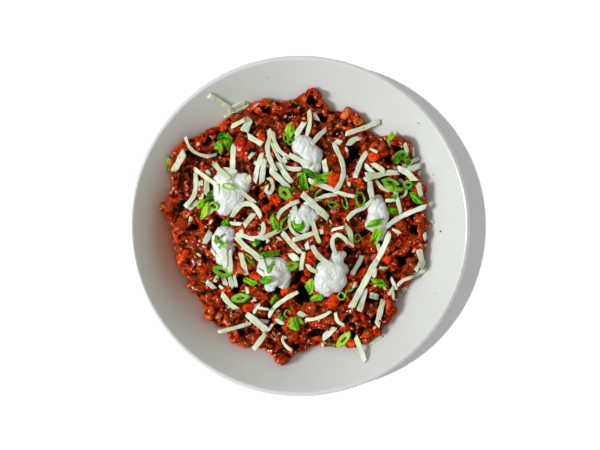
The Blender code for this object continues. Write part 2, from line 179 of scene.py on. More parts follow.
# Shreds of cheese from the lowest to the topmost: (width, x, y, x, y, ...).
SHREDS = (
    # left and back left
    (3.2, -42.5, 74.6, -33.8, 77.4), (2, -46.8, 68.3, -39.4, 72.4, -31.7, 76.2),
    (4.1, -56, 80.9, -49, 76.8, -42.4, 72.8), (5, -34.6, 59, -31, 67.5), (2.6, -42.8, 62, -34, 66.3),
    (2, -70.6, 55.3, -68.5, 49.3, -64, 45.3, -57.5, 43.6, -52, 45), (4, -71.2, 46, -78, 34),
    (2.5, -58.2, 35, -56.5, 31.5), (3.2, -57.7, 31, -58.3, 19),
    (2.8, -65.2, 34, -64.8, 25, -66.5, 18, -71.5, 11.8), (2.8, -69.6, 10.5, -63.5, 15.5),
    (2.6, -66, 36, -59.3, 31, -48.5, 23.5), (3.2, -53.5, 39.5, -49.5, 34.5, -43, 29),
    (3.3, -41, 51, -41.6, 42, -41.8, 33), (3.2, -47, 35.5, -39, 33.5), (2.6, -51, 26, -51.6, 14.8),
    (2.6, -40.5, 26.8, -35, 20.5, -27.6, 14.2), (2.6, -59.5, 6.5, -54, 10.5),
    (3, -42.5, 5.5, -38.8, 10.8, -34.5, 13.8, -29.5, 13.2, -26, 9.5, -23.7, 5), (3.2, -28.3, 8, -34.5, 0),
    (2.2, -43.5, 1.7, -36, 1.1), (2, -68, 6, -69, 2.6), (3.4, -56, -3.3, -59.6, -11),
    (2, -55.5, -14.5, -52.3, -18.7), (2.4, -36.6, -2.4, -35.3, -5.2),
    (2.8, -22.8, 2.5, -22.5, -2.8, -25, -6.8, -29.5, -7.8, -34.5, -6.2, -39.5, -4.8),
    (3.4, -39.5, -6.5, -34, -12.8, -28.5, -17, -23, -22.5), (3.2, -36.7, -16.6, -33.2, -30.6),
    (3.4, -44, -15, -43, -29), (3, -47, -13, -46.2, -26), (3.2, -48.3, -31, -46.2, -37.4),
    (3, -44, -30.5, -42.2, -39.6), (2.8, -58.2, -34.5, -53.2, -39.3), (2, -50.5, -37.3, -47.8, -39.4),
    (3.3, -48.7, -42.3, -44.5, -47.8, -39.6, -52), (1.6, -64.5, -17.3, -62, -19.2),
    (1.5, -55, 4, -56.6, 1.2),
    # lower left and front
    (2.4, -50.8, -66.2, -40, -63.6, -29.5, -60.6), (4, -33.3, -55, -27.5, -59.5, -19.6, -66.2),
    (3.2, -21, -67, -28.7, -77), (1.6, -16.5, -61, -19.5, -65.6), (2, -24.9, -48.5, -28.8, -54.6),
    (1.7, -26, -51, -19, -52.2), (2.4, -33, -38, -32.1, -42.8),
    (2.6, -0.8, -41, -8.3, -45.2, -15.5, -50.8, -19.6, -57), (2.6, -15, -58, -10, -61.6),
    (1.8, -8, -70.4, -10.1, -69.5, -10.6, -71.8, -8.5, -75, -5, -77.7), (2.6, -28.5, -47, -27.4, -45.4),
    (3, -1, -54, 3.8, -56.6), (2.2, 3.5, -59, 10, -58, 15.3, -56, 19.6, -53.2),
    (3.8, 14.5, -70.8, 22.4, -63.5), (2, 14.4, -73.6, 14.7, -76), (2.2, 22.4, -54, 24, -59.5, 28.2, -62),
    (3, 35, -69, 38, -76.5, 41, -84.5), (2.6, 43.5, -74, 52, -69.2),
    # middle
    (2.4, 0, 15.8, -6.5, 12.9, -11.6, 9, -13.8, 4.5),
    (2.2, -19.8, 30, -17.2, 28, -16.7, 23.5, -18.8, 20.4, -20.6, 22, -19.8, 25.6),
    (2.8, -12.5, -2.5, -24, -8.5), (1.6, -14, -6.7, -11.4, -9), (2, -19.4, -8, -20.2, -10.6),
    (3, -3.2, 12.8, -2.4, 5), (2, -6.2, 7.4, -6, 0, -3, -4.6, 0.6, -6), (3.2, -5, -9.2, 9, -4.4),
    (2.8, 8, 3.4, 10, -4, 12.4, -10.6), (3.2, -11, -4, -5, -11, 1, -17), (4, -6, -17, -1, -21.5),
    (2.4, 13.6, -1.8, 14, -5), (3, 4.2, -10.4, 5.3, -14.6), (2.6, 3, -16, 1.7, -21.5, 1.2, -27.5),
    (3.2, 7.8, -12, 11, -17.8, 17, -22.8, 22, -26), (2.6, 4.6, -23.6, 7.3, -27, 11.5, -28.6),
    (3.2, -24.6, -18.6, -22, -26), (2.4, -26.5, -27, -21, -31.4), (2.2, -34, 31.4, -33, 27.5),
    (2.5, -31.6, 31.6, -31, 26.4), (3.2, -32.5, 56.4, -23.2, 51), (2.4, -31.8, 42, -28.6, 46),
    (2.6, -28.5, 40, -24, 37.3),
    # back
    (2.2, -17, 52, -14, 44.5, -9.5, 38), (2.8, -15, 39, -7, 36, 1.6, 35.4),
    (3.4, -13.5, 39.5, -8.4, 31.5, -4.4, 27), (3.6, -18.6, 35, -12, 29, -6, 22.6),
    (3, -23.4, 45.6, -26, 37, -28, 27.4), (3.4, -22, 42.5, -23.6, 26.6),
    (3, -19.4, 60.5, -18.3, 56, -20, 49, -18.5, 42, -15.3, 34.6),
    (2.4, -16.8, 59.4, -15.6, 53, -12.5, 46.8, -6.4, 42.2), (2.4, -9.8, 43, -8.4, 39.2),
    (3.2, -6.6, 44.4, 0, 41, 7.2, 38.2), (3.4, -2.6, 56.4, 3.2, 65), (2.6, 4.4, 56, 6.4, 64, 6, 72.6),
    (2.4, 9, 70.6, 11.4, 66.2), (3, 7.5, 50.6, 12, 56.4, 17, 60.8), (3.4, 15.2, 41.4, 16.8, 33),
    (3.6, 22, 53, 26.4, 52), (3.2, 30.4, 50.4, 33.4, 53.6, 37.8, 55.4), (2, 28.5, 48.6, 30.3, 46.4),
    (3, 28.8, 57.6, 40, 61.5, 51, 66), (3.2, 5.5, 28.4, 14, 25.2, 22, 22.2),
    (2.4, 24, 20, 16, 18.6, 9, 15.8, 3, 13.6), (4, 1.5, 20, 9.5, 12.6, 18, 4.8),
    (2.4, 20.6, 22.2, 28, 19.6, 34.6, 18.2),
    (2.8, 21.2, 51.6, 25.6, 42.5, 27.4, 34.5, 25.8, 27.5, 22.2, 21.4),
    # right
    (3, 42.6, 46.8, 38.5, 40.4, 36, 34, 34.6, 30), (1.8, 44.2, 48.5, 49, 46),
    (3, 40.8, 38.2, 47.2, 32.4), (3.4, 43.8, 28.5, 44.4, 22, 45.8, 16),
    (2.6, 46.4, 17, 40, 11.5, 34, 8.6, 29.4, 4), (2, 47.5, 29, 51.5, 24, 57, 21.5),
    (2, 62.5, 29.6, 66, 26.4), (1.8, 62, 22.4, 66, 23.4, 67, 21, 65.2, 18.7, 62, 17.6),
    (2.2, 53.5, 15.8, 60.6, 16.4), (2.4, 60, 21.6, 63.6, 7.6), (3, 79.4, 12.4, 70, 8.9, 61, 4.4, 53.6, -1),
    (3, 41, 32.4, 47, 31.4), (3.2, 40.5, 28.8, 48, 31.4, 56, 33.3, 62.5, 33.4),
    (3, 45.4, 39.4, 53.6, 33.8), (3.8, 67, 34.6, 75.5, 37.8), (2.6, 63.5, 36, 75, 43),
    (3.8, 61.2, 36, 67, 33.2, 71.6, 28), (2, 65.2, 51.4, 67.3, 45.4), (2, 70.6, 49.4, 71.8, 43.4),
    (2.6, 75.4, 35, 75, 31.4), (3, 73.6, 26.6, 74.7, 22, 75.6, 18.4), (1.8, 80, 5.2, 84.2, 2),
    (2.4, 78, -4.4, 79, -8.6), (1.8, 58, -2, 63.6, -4.6), (2.6, 48.8, -10.6, 50.2, -16),
    (3.4, 56.4, -3.8, 54.2, -10, 50.8, -17.5, 46, -26), (3.8, 48.6, -21, 41.5, -34, 32.4, -51),
    (3.4, 41, -39.4, 39.6, -46, 37.4, -53.4), (3, 28.2, 0.6, 31.4, -4, 32.5, -12.6),
    (1.8, 20, -2.4, 27.6, -0.6), (2.6, 22.8, -18, 20.6, -12, 20.9, -7.6, 23.6, -5.4, 27, -7, 30.6, -10.6),
    (1.6, 50, -26.2, 55.6, -26.2), (2, 75.6, -22.6, 72.4, -28), (3.8, 74.6, -14.5, 77.6, -26),
    (2.8, 79.8, -26.6, 76, -29, 70.6, -31.8), (2, 71, -31.6, 65, -34, 61.2, -37.4),
    (2.2, 57.6, -32.4, 60.6, -40), (2, 59, -38, 56, -43), (1.8, 58.4, -41, 58.8, -46.6),
    (2.6, 64.4, -41, 68.6, -38.3), (3.4, 52.8, -46, 50.6, -53, 48.2, -62), (4.4, 44, -43.3, 50, -44.8),
    (2.4, 47.6, -26, 46.2, -32.6), (1.3, 35, -35, 33.5, -38.6), (1.5, 52.5, -37.4, 54.2, -40),
)
# Shreds pressed down between the clumps.
SUNK_SHREDS = (
    (3, -61.8, 28.5, -61.3, 15.5), (2.2, -51, -30.8, -53, -35), (2.2, -41, -31, -39.6, -38.6),
    (2, 29, 32, 31.4, 24.8), (2.8, 40, -18, 37.4, -23.4, 32.4, -31), (2.6, -26, -59.5, -19.5, -60.5),
)
SHRED_THICKNESS = 1.35
SHRED_STIFFNESS = 0.014  # how fast a shred may bend down from a high spot
SHRED_SINK = 0.35
SUNK_SINK = 1.6
SHRED_LINES = (-0.45, -0.2, 0, 0.2, 0.45)  # lines along a shred's underside, in shares of its width
STATION = 1.2  # step along a shred

# Crumbs of cheese beside the heap and specks of pepper on the bowl: (x, y, size).
CHEESE_CRUMBS = (
    (-63, -9.5, 1.4), (-62.5, -24, 1.6), (-53.5, -21, 1.3), (79.5, -12, 1.2), (-69.5, 1.5, 1.5),
    (-59, -0.5, 1.2), (-33, -60, 1.2), (52, -66, 1.3), (67, -43, 1.2), (61, -46.5, 1.4), (77, 7, 1.2),
    (24, 63, 1.1), (-12, 56, 1.2), (-54, 30, 1.3), (36, -19, 1.2), (4, -60, 1.1), (44, -60, 1.2),
    (-40.5, 3.5, 1.2), (-26, 57, 1.1), (56, 13, 1.2),
)
PEPPER_SPECKS = ((73.5, 63.5, 0.7), (88, -3.5, 0.9), (83.7, 32, 0.6), (84.5, -42, 0.5), (-20, 92, 0.5))

# Beans and pieces of tomato in the chili: (x, y, length, width, turn).
BEANS = (
    (-10, -84, 7, 6, 0), (7, -51, 8.5, 7, 50), (-86, 12, 6, 5, 70), (-51, -56, 6, 4.5, 60),
    (29.5, 71, 9, 6.5, 60), (-75, 1, 12, 8, 75), (-4, -69, 8, 6, 30), (17.5, 17, 10, 4.5, 15),
    (40.5, -72, 6, 4, 20), (-38, -25, 12, 5.5, -65), (-28, -70, 8, 6, -20), (64, 2, 7, 5.5, -40),
    (42, -66.5, 4.5, 4, 0), (-57, -57, 5.5, 5, 0), (36.5, 66, 7.5, 5, -30), (52, 50, 7, 5.5, 60),
    (57, -14, 7, 4.5, 15), (36, -2, 6, 5, 40), (-59, 49, 5, 3.6, 20),
)
TOMATO = (
    (22.5, 28, 11, 8.5, -14), (46.5, 43.5, 7.5, 6, 20), (21, -47, 9, 7, 50), (-31.5, -51, 8.5, 5, 10),
    (-43, -44, 4.5, 3.5, 0), (-26.5, -32, 4.5, 4, 0), (-9, -41, 5.5, 5, 30), (-1, -51, 5, 2.5, 80),
    (-6.5, -59, 4.5, 3, 70), (49, -66.5, 6, 4, 0), (32.5, -73.5, 6, 3, 0), (55, -21, 5, 4, 70),
    (37.5, 28, 4.5, 3.5, 90), (-10, 63, 4.5, 3, 0), (7, -19, 8, 7, 30), (17, -17.5, 3, 2.5, 0),
    (-14, 16, 5, 3.5, 20), (-64.5, 5, 12, 2.2, 118), (-48, -40, 5, 3, 20), (-37, 49, 12, 6.5, 80),
    (-57, -17, 4, 3, 20), (-71, -17, 5, 3.5, 70), (69, 9, 6, 4, 30),
)

# Slices of spring onion: (kind, x, y, length, width, turn, brightness from 0 to 1).
ONION = (
    ("leaf", -44.7, 52.3, 8, 4.4, 70, 0.4), ("leaf", -48, 55.6, 8, 4, 15, 0.1),
    ("leaf", -50, 51, 8.5, 4, 40, 0.9), ("leaf", -49.3, 48, 5, 2, 78, 0.8),
    ("drop", -81.6, 40.5, 5, 2.8, 75, 0.8), ("leaf", -82.2, 35.5, 5, 1.6, 85, 0.2),
    ("ring", -8.2, 55.2, 5, 3.2, 95, 0.3), ("ring", -5.2, 53.6, 4.6, 3.2, 70, 0.3),
    ("drop", -5.7, 60, 10, 5, 82, 1), ("leaf", 8.5, 31, 9, 4.4, -18, 0.1),
    ("leaf", 14.4, 29.2, 10.5, 5.2, 14, 0.75), ("leaf", 2.6, 26, 11, 4.4, 100, 0.6),
    ("slit", -9, 20.5, 10, 6, -50, 0.4), ("leaf", -2.5, 24, 7, 1.8, 45, 0.3),
    ("leaf", 7, 23, 6.5, 1.8, 45, 0.4), ("leaf", 0, 31.7, 6.5, 1.8, 10, 0.2),
    ("curl", 13.8, 18.7, 7, 7, 90, 0.6), ("ring", 21.4, 12.5, 7, 3.8, -15, 0),
    ("ring", 29, 14.3, 8.5, 3.4, -70, 0.5), ("ring", 37.3, 16.3, 9, 5.4, 85, 0.4),
    ("ring", 35.7, -8.3, 6.4, 4, 60, 0.6), ("leaf", -15, 2, 11, 4.6, -75, 0.5),
    ("ring", -9.3, 2, 9.5, 5, 55, 0.5), ("moon", -0.9, 1.9, 13, 3.7, 0, 0.3),
    ("leaf", -47, 1.5, 7, 5.4, 70, 0.3), ("ring", -44.5, 24.5, 7.5, 3.6, -15, 0.8),
    ("leaf", -59.7, 9.7, 12, 4.8, 62, 1), ("leaf", -57, 18.5, 7, 4.4, 60, 0.4),
    ("drop", -62, 13.5, 7.5, 4.2, 55, 0.9), ("ring", -53, 13, 6.4, 5, 10, 0.9),
    ("leaf", -51, -10, 9, 2.8, -75, 0.7), ("leaf", -49.2, -8, 5, 2.6, 70, 0.5),
    ("leaf", -46.8, -10.6, 4.6, 3, 15, 0.6), ("slit", -48.5, -28.7, 12, 5.8, -15, 0.5),
    ("slit", -36.5, -45.5, 12, 5, 5, 0.3), ("leaf", -31, -21, 9.5, 3.2, -65, 0.7),
    ("leaf", -27.5, -10.5, 5, 4.6, 90, 0.4), ("leaf", -18.5, -18, 11.5, 3.6, 12, 0.3),
    ("leaf", -18, -25.5, 8, 2.8, 65, 0.5), ("curl", -22.5, -16.5, 5.5, 5, 100, 0.4),
    ("leaf", -20.5, -33.5, 10, 4.4, 15, 0.5), ("leaf", -31, -34.7, 8, 3.2, -28, 0.6),
    ("slit", -4.7, -24.5, 9, 5.2, 15, 0.2), ("leaf", 7, -38, 11, 5.2, 75, 0.7),
    ("leaf", 10.5, -45.5, 8.5, 4.4, 8, 0.6), ("leaf", -15.7, -46, 6.5, 3, 75, 0.2),
    ("leaf", -11, -57, 8.5, 2.8, -42, 0.4), ("leaf", -3, -61, 9.5, 6, -60, 0.9),
    ("leaf", 0.5, -59, 6, 2, -60, 0.4), ("curl", -6.5, -55, 5, 4.4, 20, 0.5),
    ("leaf", 19.5, -75, 7.5, 2, 0, 0.1), ("slit", 28, -71.5, 11.5, 4.8, 50, 0.9),
    ("leaf", 49.9, -36, 7, 4, -5, 0.5), ("ring", 26, -44.5, 5, 4.6, 0, 0.7),
    ("curl", 31, -42, 6, 4, 60, 0.4), ("curl", 31.5, -38.5, 5, 4, 240, 0.3),
    ("leaf", 57.3, 9, 7.5, 4.4, -5, 0.3), ("leaf", 47, 2, 8, 3.6, 10, 0.6),
    ("leaf", 47.7, -6.5, 10.5, 4.4, 70, 0.7), ("slit", 57.5, 27.5, 11, 4.8, -10, 0.15),
    ("leaf", 59, 23.6, 12.5, 4, -12, 0.5), ("slit", 68.5, 25.5, 6.4, 5.4, -10, 0),
    ("leaf", 73, 17.5, 10, 4.8, -40, 0.3), ("slit", 64, 44, 9.5, 5.4, 20, 0.1),
    ("leaf", 61, 42, 8, 3.6, 50, 0.1), ("leaf", 67, 40.5, 7.5, 3.6, -30, 0.2),
    ("leaf", 57.2, 54.4, 6.6, 3.6, 62, 0.9), ("leaf", 58, 18.7, 5, 3, 0, 0.1),
)
LEAF_SKIN = 0.55
RING_WALL = 0.85
CURL_WALL = 0.6
MOON_RADIUS = 3.2  # of a leaf bent round in its own plane
RING_STEPS = 28
RING_SECTION = (  # out, up and how pale
    (0.5, 0.12, 0), (0.5, 0.88, 0), (0.34, 1, 0.5), (-0.34, 1, 0.8),
    (-0.5, 0.88, 1), (-0.5, 0.12, 1), (-0.34, 0, 0.8), (0.34, 0, 0.5),
)


def in_scene(name, data):
    thing = bpy.data.objects.new(name, data)
    bpy.context.scene.collection.objects.link(thing)
    return thing


def field(rows, name, size=3, kind=float):
    """One field of a mesh's vertices or edges, as an array with a row for each."""
    flat = np.empty(len(rows) * size, dtype=kind)
    rows.foreach_get(name, flat)
    return flat.reshape(-1, size)


def mesh_points(mesh):
    return field(mesh.vertices, "co") / MM


def mesh_edges(mesh):
    return field(mesh.edges, "vertices", 2, int)


def mesh_normals(mesh):
    return field(mesh.vertices, "normal")


def set_points(mesh, points):
    mesh.vertices.foreach_set("co", (points * MM).ravel())
    mesh.update()


def push_out(mesh, lift):
    """Moves each point along its normal."""
    set_points(mesh, mesh_points(mesh) + mesh_normals(mesh) * lift[:, None])


def neighbour_mean(values, edges, rounds):
    """Each vertex's values averaged with its neighbours', that many times over."""
    count = len(values)
    ends, others = np.concatenate([edges, edges[:, ::-1]]).T
    near = np.bincount(ends, minlength=count)[:, None] + 1
    for _ in range(rounds):
        total = [np.bincount(ends, column[others], count) for column in values.T]
        values = (values + np.stack(total, axis=1)) / near
    return values


def set_colour(mesh, name, values):
    """Stores three shares for each vertex, which the finish reads by name."""
    layer = mesh.attributes.new(name, "FLOAT_COLOR", "POINT")
    layer.data.foreach_set("color", np.pad(values, ((0, 0), (0, 1)), constant_values=1).ravel())


def noise_at(points, size, seed=0.0):
    """Smooth noise from -1 to 1 at each point, with features of that size."""
    shift = Vector((seed * 17.3, seed * 5.1, seed * 9.7))
    return np.array([noise.noise(Vector(p) / size + shift) for p in points])


def warped(points, size, seed, reach):
    """The points shifted by smooth noise, so that what is made from them curls."""
    return points + reach * np.stack([noise_at(points, size, seed + axis) for axis in range(3)], axis=1)


def bulges(points, size, seed):
    """Rounded bulges of about that size: 0 in the creases between them and up to 1 on top."""
    return np.minimum(2.4 * np.abs(noise_at(points, size, seed)), 1)


def off_course(turn, direction):
    """How far a turn is from a direction, from -180 to 180 degrees."""
    return (turn - direction + 180) % 360 - 180


def heights_of(mesh):
    """A function that gives the height of a mesh's top over a point, or None beside it."""
    tree = BVHTree.FromPolygons([v.co for v in mesh.vertices], [p.vertices[:] for p in mesh.polygons])
    down = Vector((0, 0, -1))

    def height(x, y):
        hit = tree.ray_cast(Vector((x * MM, y * MM, 0.1)), down)[0]
        return None if hit is None else hit.z / MM

    return height


def add_piece(name, mesh, finish, stands_for=()):
    """Puts a finished mesh in the scene and hangs it on the bowl."""
    mesh.materials.clear()
    mesh.materials.append(finish)
    mesh.shade_smooth()
    piece = in_scene(name, mesh)
    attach(piece, "root")
    if stands_for:
        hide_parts(*stands_for)
    return piece


def to_mesh(maker, name):
    """Ends a bmesh: its faces point out, and it becomes a mesh."""
    bmesh.ops.recalc_face_normals(maker, faces=maker.faces)
    mesh = bpy.data.meshes.new(name)
    maker.to_mesh(mesh)
    maker.free()
    return mesh


def remeshed(mesh, voxel):
    """The outside of overlapping closed shapes, as one skin of small even faces."""
    holder = in_scene("holder", mesh)
    skin = holder.modifiers.new("skin", "REMESH")
    skin.mode = "VOXEL"
    skin.voxel_size = voxel * MM
    skin.adaptivity = 0
    made = bpy.data.meshes.new_from_object(holder.evaluated_get(bpy.context.evaluated_depsgraph_get()))
    bpy.data.objects.remove(holder)
    return made


def ball(subdivisions):
    """A ball of radius 1, as a mesh."""
    maker = bmesh.new()
    bmesh.ops.create_icosphere(maker, subdivisions=subdivisions, radius=1)
    return to_mesh(maker, f"ball {subdivisions}")


class Scatter:
    """Many small shapes joined into one piece. Each of their points holds three shares."""

    def __init__(self, layer):
        self.joined = bmesh.new()
        self.layer = self.joined.verts.layers.float_color.new(layer)
        self.count = 0

    def add(self, shape, shares):
        self.joined.from_mesh(shape)
        self.joined.verts.ensure_lookup_table()
        for point in self.joined.verts[self.count:]:
            point[self.layer] = (*shares, 1)
        self.count = len(self.joined.verts)
        bpy.data.meshes.remove(shape)

    def piece(self, name, finish, slot):
        return add_piece(name, to_mesh(self.joined, name.replace("_", " ")), finish)


# Finishes.


class Term:
    """A socket of a finish. Arithmetic on it adds Math nodes."""

    def __init__(self, finish, socket):
        self.finish = finish
        self.socket = socket

    def math(self, operation, *values):
        return self.finish.node("ShaderNodeMath", {"operation": operation}, dict(enumerate(values)))

    def __add__(self, other):
        return self.math("ADD", self, other)

    def __sub__(self, other):
        return self.math("SUBTRACT", self, other)

    def __rsub__(self, other):
        return self.math("SUBTRACT", other, self)

    def __mul__(self, other):
        return self.math("MULTIPLY", self, other)

    def __abs__(self):
        return self.math("ABSOLUTE", self)

    __radd__ = __add__
    __rmul__ = __mul__


class Finish:
    """A material built one node at a time. Its patterns are placed in the piece's own millimetres."""

    def __init__(self, name, constants):
        self.material = bpy.data.materials.new(name)
        self.material.use_nodes = True
        self.nodes = self.material.node_tree.nodes
        self.links = self.material.node_tree.links
        self.shader = self.nodes["Principled BSDF"]
        self.place = self.node("ShaderNodeTexCoord", output="Object")
        for socket, value in constants.items():
            self.shader.inputs[socket].default_value = value

    def put(self, node, values):
        """Sets or links a node's inputs, by name or number."""
        for name, value in values.items():
            socket = node.inputs[name]
            if isinstance(value, Term):
                self.links.new(value.socket, socket)
            else:
                socket.default_value = (*value, 1) if socket.type == "RGBA" else value

    def node(self, kind, settings=None, inputs=None, output=0):
        made = self.nodes.new(kind)
        for name, value in (settings or {}).items():
            if name == "stops":
                self.set_stops(made.color_ramp.elements, value)
            else:
                setattr(made, name, value)
        self.put(made, inputs or {})
        return Term(self, made.outputs[output])

    @staticmethod
    def set_stops(elements, stops):
        while len(elements) < len(stops):
            elements.new(1)
        for element, (position, colour) in zip(elements, stops):
            element.position = position
            element.color = (*colour, 1)

    def noise(self, size, detail=3, roughness=0.5, curl=0.0):
        inputs = {"Vector": self.place, "Scale": 1 / (size * MM), "Detail": detail, "Roughness": roughness,
                  "Distortion": curl}
        return self.node("ShaderNodeTexNoise", {}, inputs)

    def fade(self, value, low, high):
        """0 up to low and 1 from high, eased between."""
        inputs = {"Value": value, "From Min": low, "From Max": high}
        return self.node("ShaderNodeMapRange", {"interpolation_type": "SMOOTHSTEP"}, inputs)

    def mix(self, share, first, second, blend="MIX"):
        settings = {"data_type": "RGBA", "blend_type": blend}
        return self.node("ShaderNodeMix", settings, {0: share, 6: first, 7: second}, 2)

    def ramp(self, value, stops):
        return self.node("ShaderNodeValToRGB", {"stops": stops}, {"Fac": value})

    def shares(self, name):
        """The three shares that a mesh holds under that name."""
        colour = self.node("ShaderNodeAttribute", {"attribute_name": name}, {}, "Color")
        return [self.node("ShaderNodeSeparateColor", {}, {"Color": colour}, end) for end in range(3)]

    def bump(self, height, depth):
        return self.node("ShaderNodeBump", {}, {"Height": height, "Distance": depth * MM, "Strength": 1.0})

    def wet(self, share, tint, roughness, normal):
        """Mixes in a thin film of liquid that mirrors the same from every side."""
        inputs = {"Metallic": 1.0, "Base Color": tint, "Roughness": roughness, "Normal": normal}
        film = self.node("ShaderNodeBsdfPrincipled", {}, inputs)
        inputs = {0: share, 1: Term(self, self.shader.outputs[0]), 2: film}
        self.put(self.nodes["Material Output"], {"Surface": self.node("ShaderNodeMixShader", {}, inputs)})

    def done(self, colour, roughness, normal=None):
        self.put(self.shader, {"Base Color": colour, "Roughness": roughness})
        if normal:
            self.put(self.shader, {"Normal": normal})
        return self.material


def glaze_finish():
    """White glaze, faintly uneven, with the bare clay of the foot ring underneath."""
    glaze = Finish("bowl glaze", {"IOR": 1.5, "Coat Weight": 0.3, "Coat Roughness": 0.08})
    height = glaze.node("ShaderNodeSeparateXYZ", {}, {"Vector": glaze.place}, "Z")
    clay = 1 - glaze.fade(height, 0.0004, 0.0011)
    pool = glaze.mix(glaze.noise(24, 2), (0.575, 0.598, 0.582), (0.605, 0.63, 0.612))
    spots = {"Vector": glaze.place, "Scale": 1 / (2.6 * MM)}
    cells = glaze.node("ShaderNodeTexVoronoi", {}, spots, "Distance")
    colour = glaze.mix(glaze.fade(cells, 0.0, 0.07), (0.50, 0.50, 0.49), pool)
    colour = glaze.mix(clay, colour, (0.52, 0.47, 0.41))
    # Painted shade beside the heap, reddened as by light bounced from the chili.
    colour = glaze.mix(glaze.shares("oil")[0], colour, (0.37, 0.155, 0.09))
    roughness = 0.20 + 0.08 * glaze.noise(6, 2) + 0.5 * clay
    return glaze.done(colour, roughness, glaze.bump(glaze.noise(9, 2), 0.05))


def chili_finish():
    """Minced meat in glossy sauce, brick red, with painted shade near black in the gaps and creases, painted
    light on the tops of the clumps, and pale fat threads that are partly painted highlights.
    """
    chili = Finish("chili", {"IOR": 1.4, "Specular IOR Level": 0.0})
    grain, hollow, batch = chili.shares("relief")
    fine = chili.noise(1.5, 3, 0.65, 1.2)
    region = chili.noise(9, 2)
    # Painted shade and light: by how far each point stands out, the ramp darkens the creases and lightens
    # the tops.
    height = grain + 2.6 * (fine - 0.5) + 0.4 * (batch - 0.5) + 1.1 * (region - 0.5) - 0.045
    colour = chili.ramp(height, (
        (0.18, (0.015, 0.0068, 0.0013)), (0.36, (0.115, 0.0125, 0.0014)),
        (0.52, (0.36, 0.0235, 0.002)), (0.72, (0.54, 0.0385, 0.0027)), (0.95, (0.64, 0.07, 0.007)),
    ))
    sauce = chili.fade(chili.noise(5, 2, 0.6), 0.51, 0.60)
    colour = chili.mix(sauce, colour, chili.mix(1.0, colour, (0.98, 0.42, 0.22), "MULTIPLY"))
    brown = chili.mix(0.7, colour, (0.11, 0.024, 0.005))
    colour = chili.mix(chili.fade(batch, 0.6, 0.75), colour, brown)
    bits = chili.fade(chili.noise(2.0, 1), 0.66, 0.70) * chili.fade(grain, 0.4, 0.6)
    colour = chili.mix(bits, colour, (0.62, 0.08, 0.010))
    # Pale threads of fat, also standing in for glints: partly painted highlight.
    thread = abs(chili.noise(3.4, 1, 0.5, 0.6) - 0.5)
    fat_and_glints = (1 - chili.fade(thread, 0.03, 0.055)) * chili.fade(chili.noise(2.6, 0), 0.63, 0.65)
    colour = chili.mix(fat_and_glints * chili.fade(grain, 0.35, 0.5), colour, (0.70, 0.47, 0.36))
    # Painted shade: near black in the hollows.
    colour = chili.mix(chili.fade(hollow, 0.1, 0.8), colour, (0.006, 0.0032, 0.0008))
    roughness = 0.03 + 0.03 * chili.noise(2.5, 2)
    film = chili.bump(chili.noise(2.0, 0, 0.5, 1.5), 0.36)
    beads = chili.fade(chili.noise(1.5, 1, 0.5, 0.8), 0.53, 0.58)
    chili.wet(0.0015 + 0.016 * beads, (0.98, 0.93, 0.88), roughness, film)
    return chili.done(colour, 0.6, chili.bump(chili.noise(1.4, 1, 0.6, 1.2), 1.1))


def cream_finish():
    cream = Finish("sour cream", {"IOR": 1.4, "Subsurface Weight": 0.25, "Subsurface Scale": 0.002,
                                  "Subsurface Radius": (1.0, 0.8, 0.6)})
    colour = cream.mix(cream.noise(5, 3), (0.585, 0.615, 0.607), (0.64, 0.678, 0.665))
    return cream.done(colour, 0.35 + 0.2 * cream.noise(3, 2), cream.bump(cream.noise(1.2, 2), 0.22))


def cheese_finish():
    cheese = Finish("grated cheese", {"IOR": 1.42, "Subsurface Weight": 0.15, "Subsurface Scale": 0.0015,
                                      "Subsurface Radius": (1.0, 0.9, 0.5)})
    cloud = cheese.fade(cheese.noise(9, 1), 0.35, 0.62)
    streak = cheese.fade(cheese.noise(3.2, 3), 0.35, 0.65)
    colour = cheese.mix(0.5 * cloud + 0.5 * streak, (0.46, 0.525, 0.265), (0.62, 0.68, 0.60))
    return cheese.done(colour, 0.38 + 0.2 * cheese.noise(2, 2), cheese.bump(cheese.noise(1.2, 2), 0.10))


def onion_finish():
    """Green outside, from dark leaf tips to pale stems, and lighter on the cut and inside."""
    onion = Finish("spring onion", {"IOR": 1.42, "Specular IOR Level": 0.0})
    inside, vein, leaf = onion.shares("cut")
    streak = onion.noise(1.1, 2)
    vary = 1.0 * (streak - 0.5) + 0.7 * (vein - 0.5)
    green = onion.ramp(0.7 * leaf + 0.24 + vary, (
        (0.05, (0.010, 0.055, 0.0004)), (0.5, (0.05, 0.28, 0.0015)), (0.95, (0.29, 0.58, 0.02)),
    ))
    pale = onion.mix(0.8 * leaf + 0.1 + 0.8 * vary, (0.05, 0.28, 0.002), (0.42, 0.68, 0.10))
    colour = onion.mix(onion.fade(inside, 0.2, 0.8), green, pale)
    skin = onion.bump(streak + vein, 0.5)
    onion.wet(0.007, (0.85, 1.0, 0.5), 0.15 + 0.1 * streak, skin)
    return onion.done(colour, 0.6, skin)


def bean_finish():
    """Tan skins stained red by the sauce, which lies over them in patches."""
    bean = Finish("bean skin", {"IOR": 1.45, "Specular IOR Level": 0.0})
    dark = bean.shares("tint")[0]
    colour = bean.mix(bean.fade(bean.noise(4.5, 3), 0.42, 0.62), (0.45, 0.050, 0.007), (0.64, 0.185, 0.026))
    colour = bean.mix(0.65 * dark, colour, (0.27, 0.028, 0.004))
    sauce = bean.fade(bean.noise(2.0, 3, 0.6, 1.0) + 0.12 * dark, 0.54, 0.62)
    colour = bean.mix(sauce, colour, (0.26, 0.020, 0.003))
    skin = bean.bump(bean.noise(1.6, 2, 0.5, 1.0), 0.45)
    bean.wet(0.017, (0.98, 0.91, 0.86), 0.10 + 0.1 * bean.noise(3, 2), skin)
    return bean.done(colour, 0.5, skin)


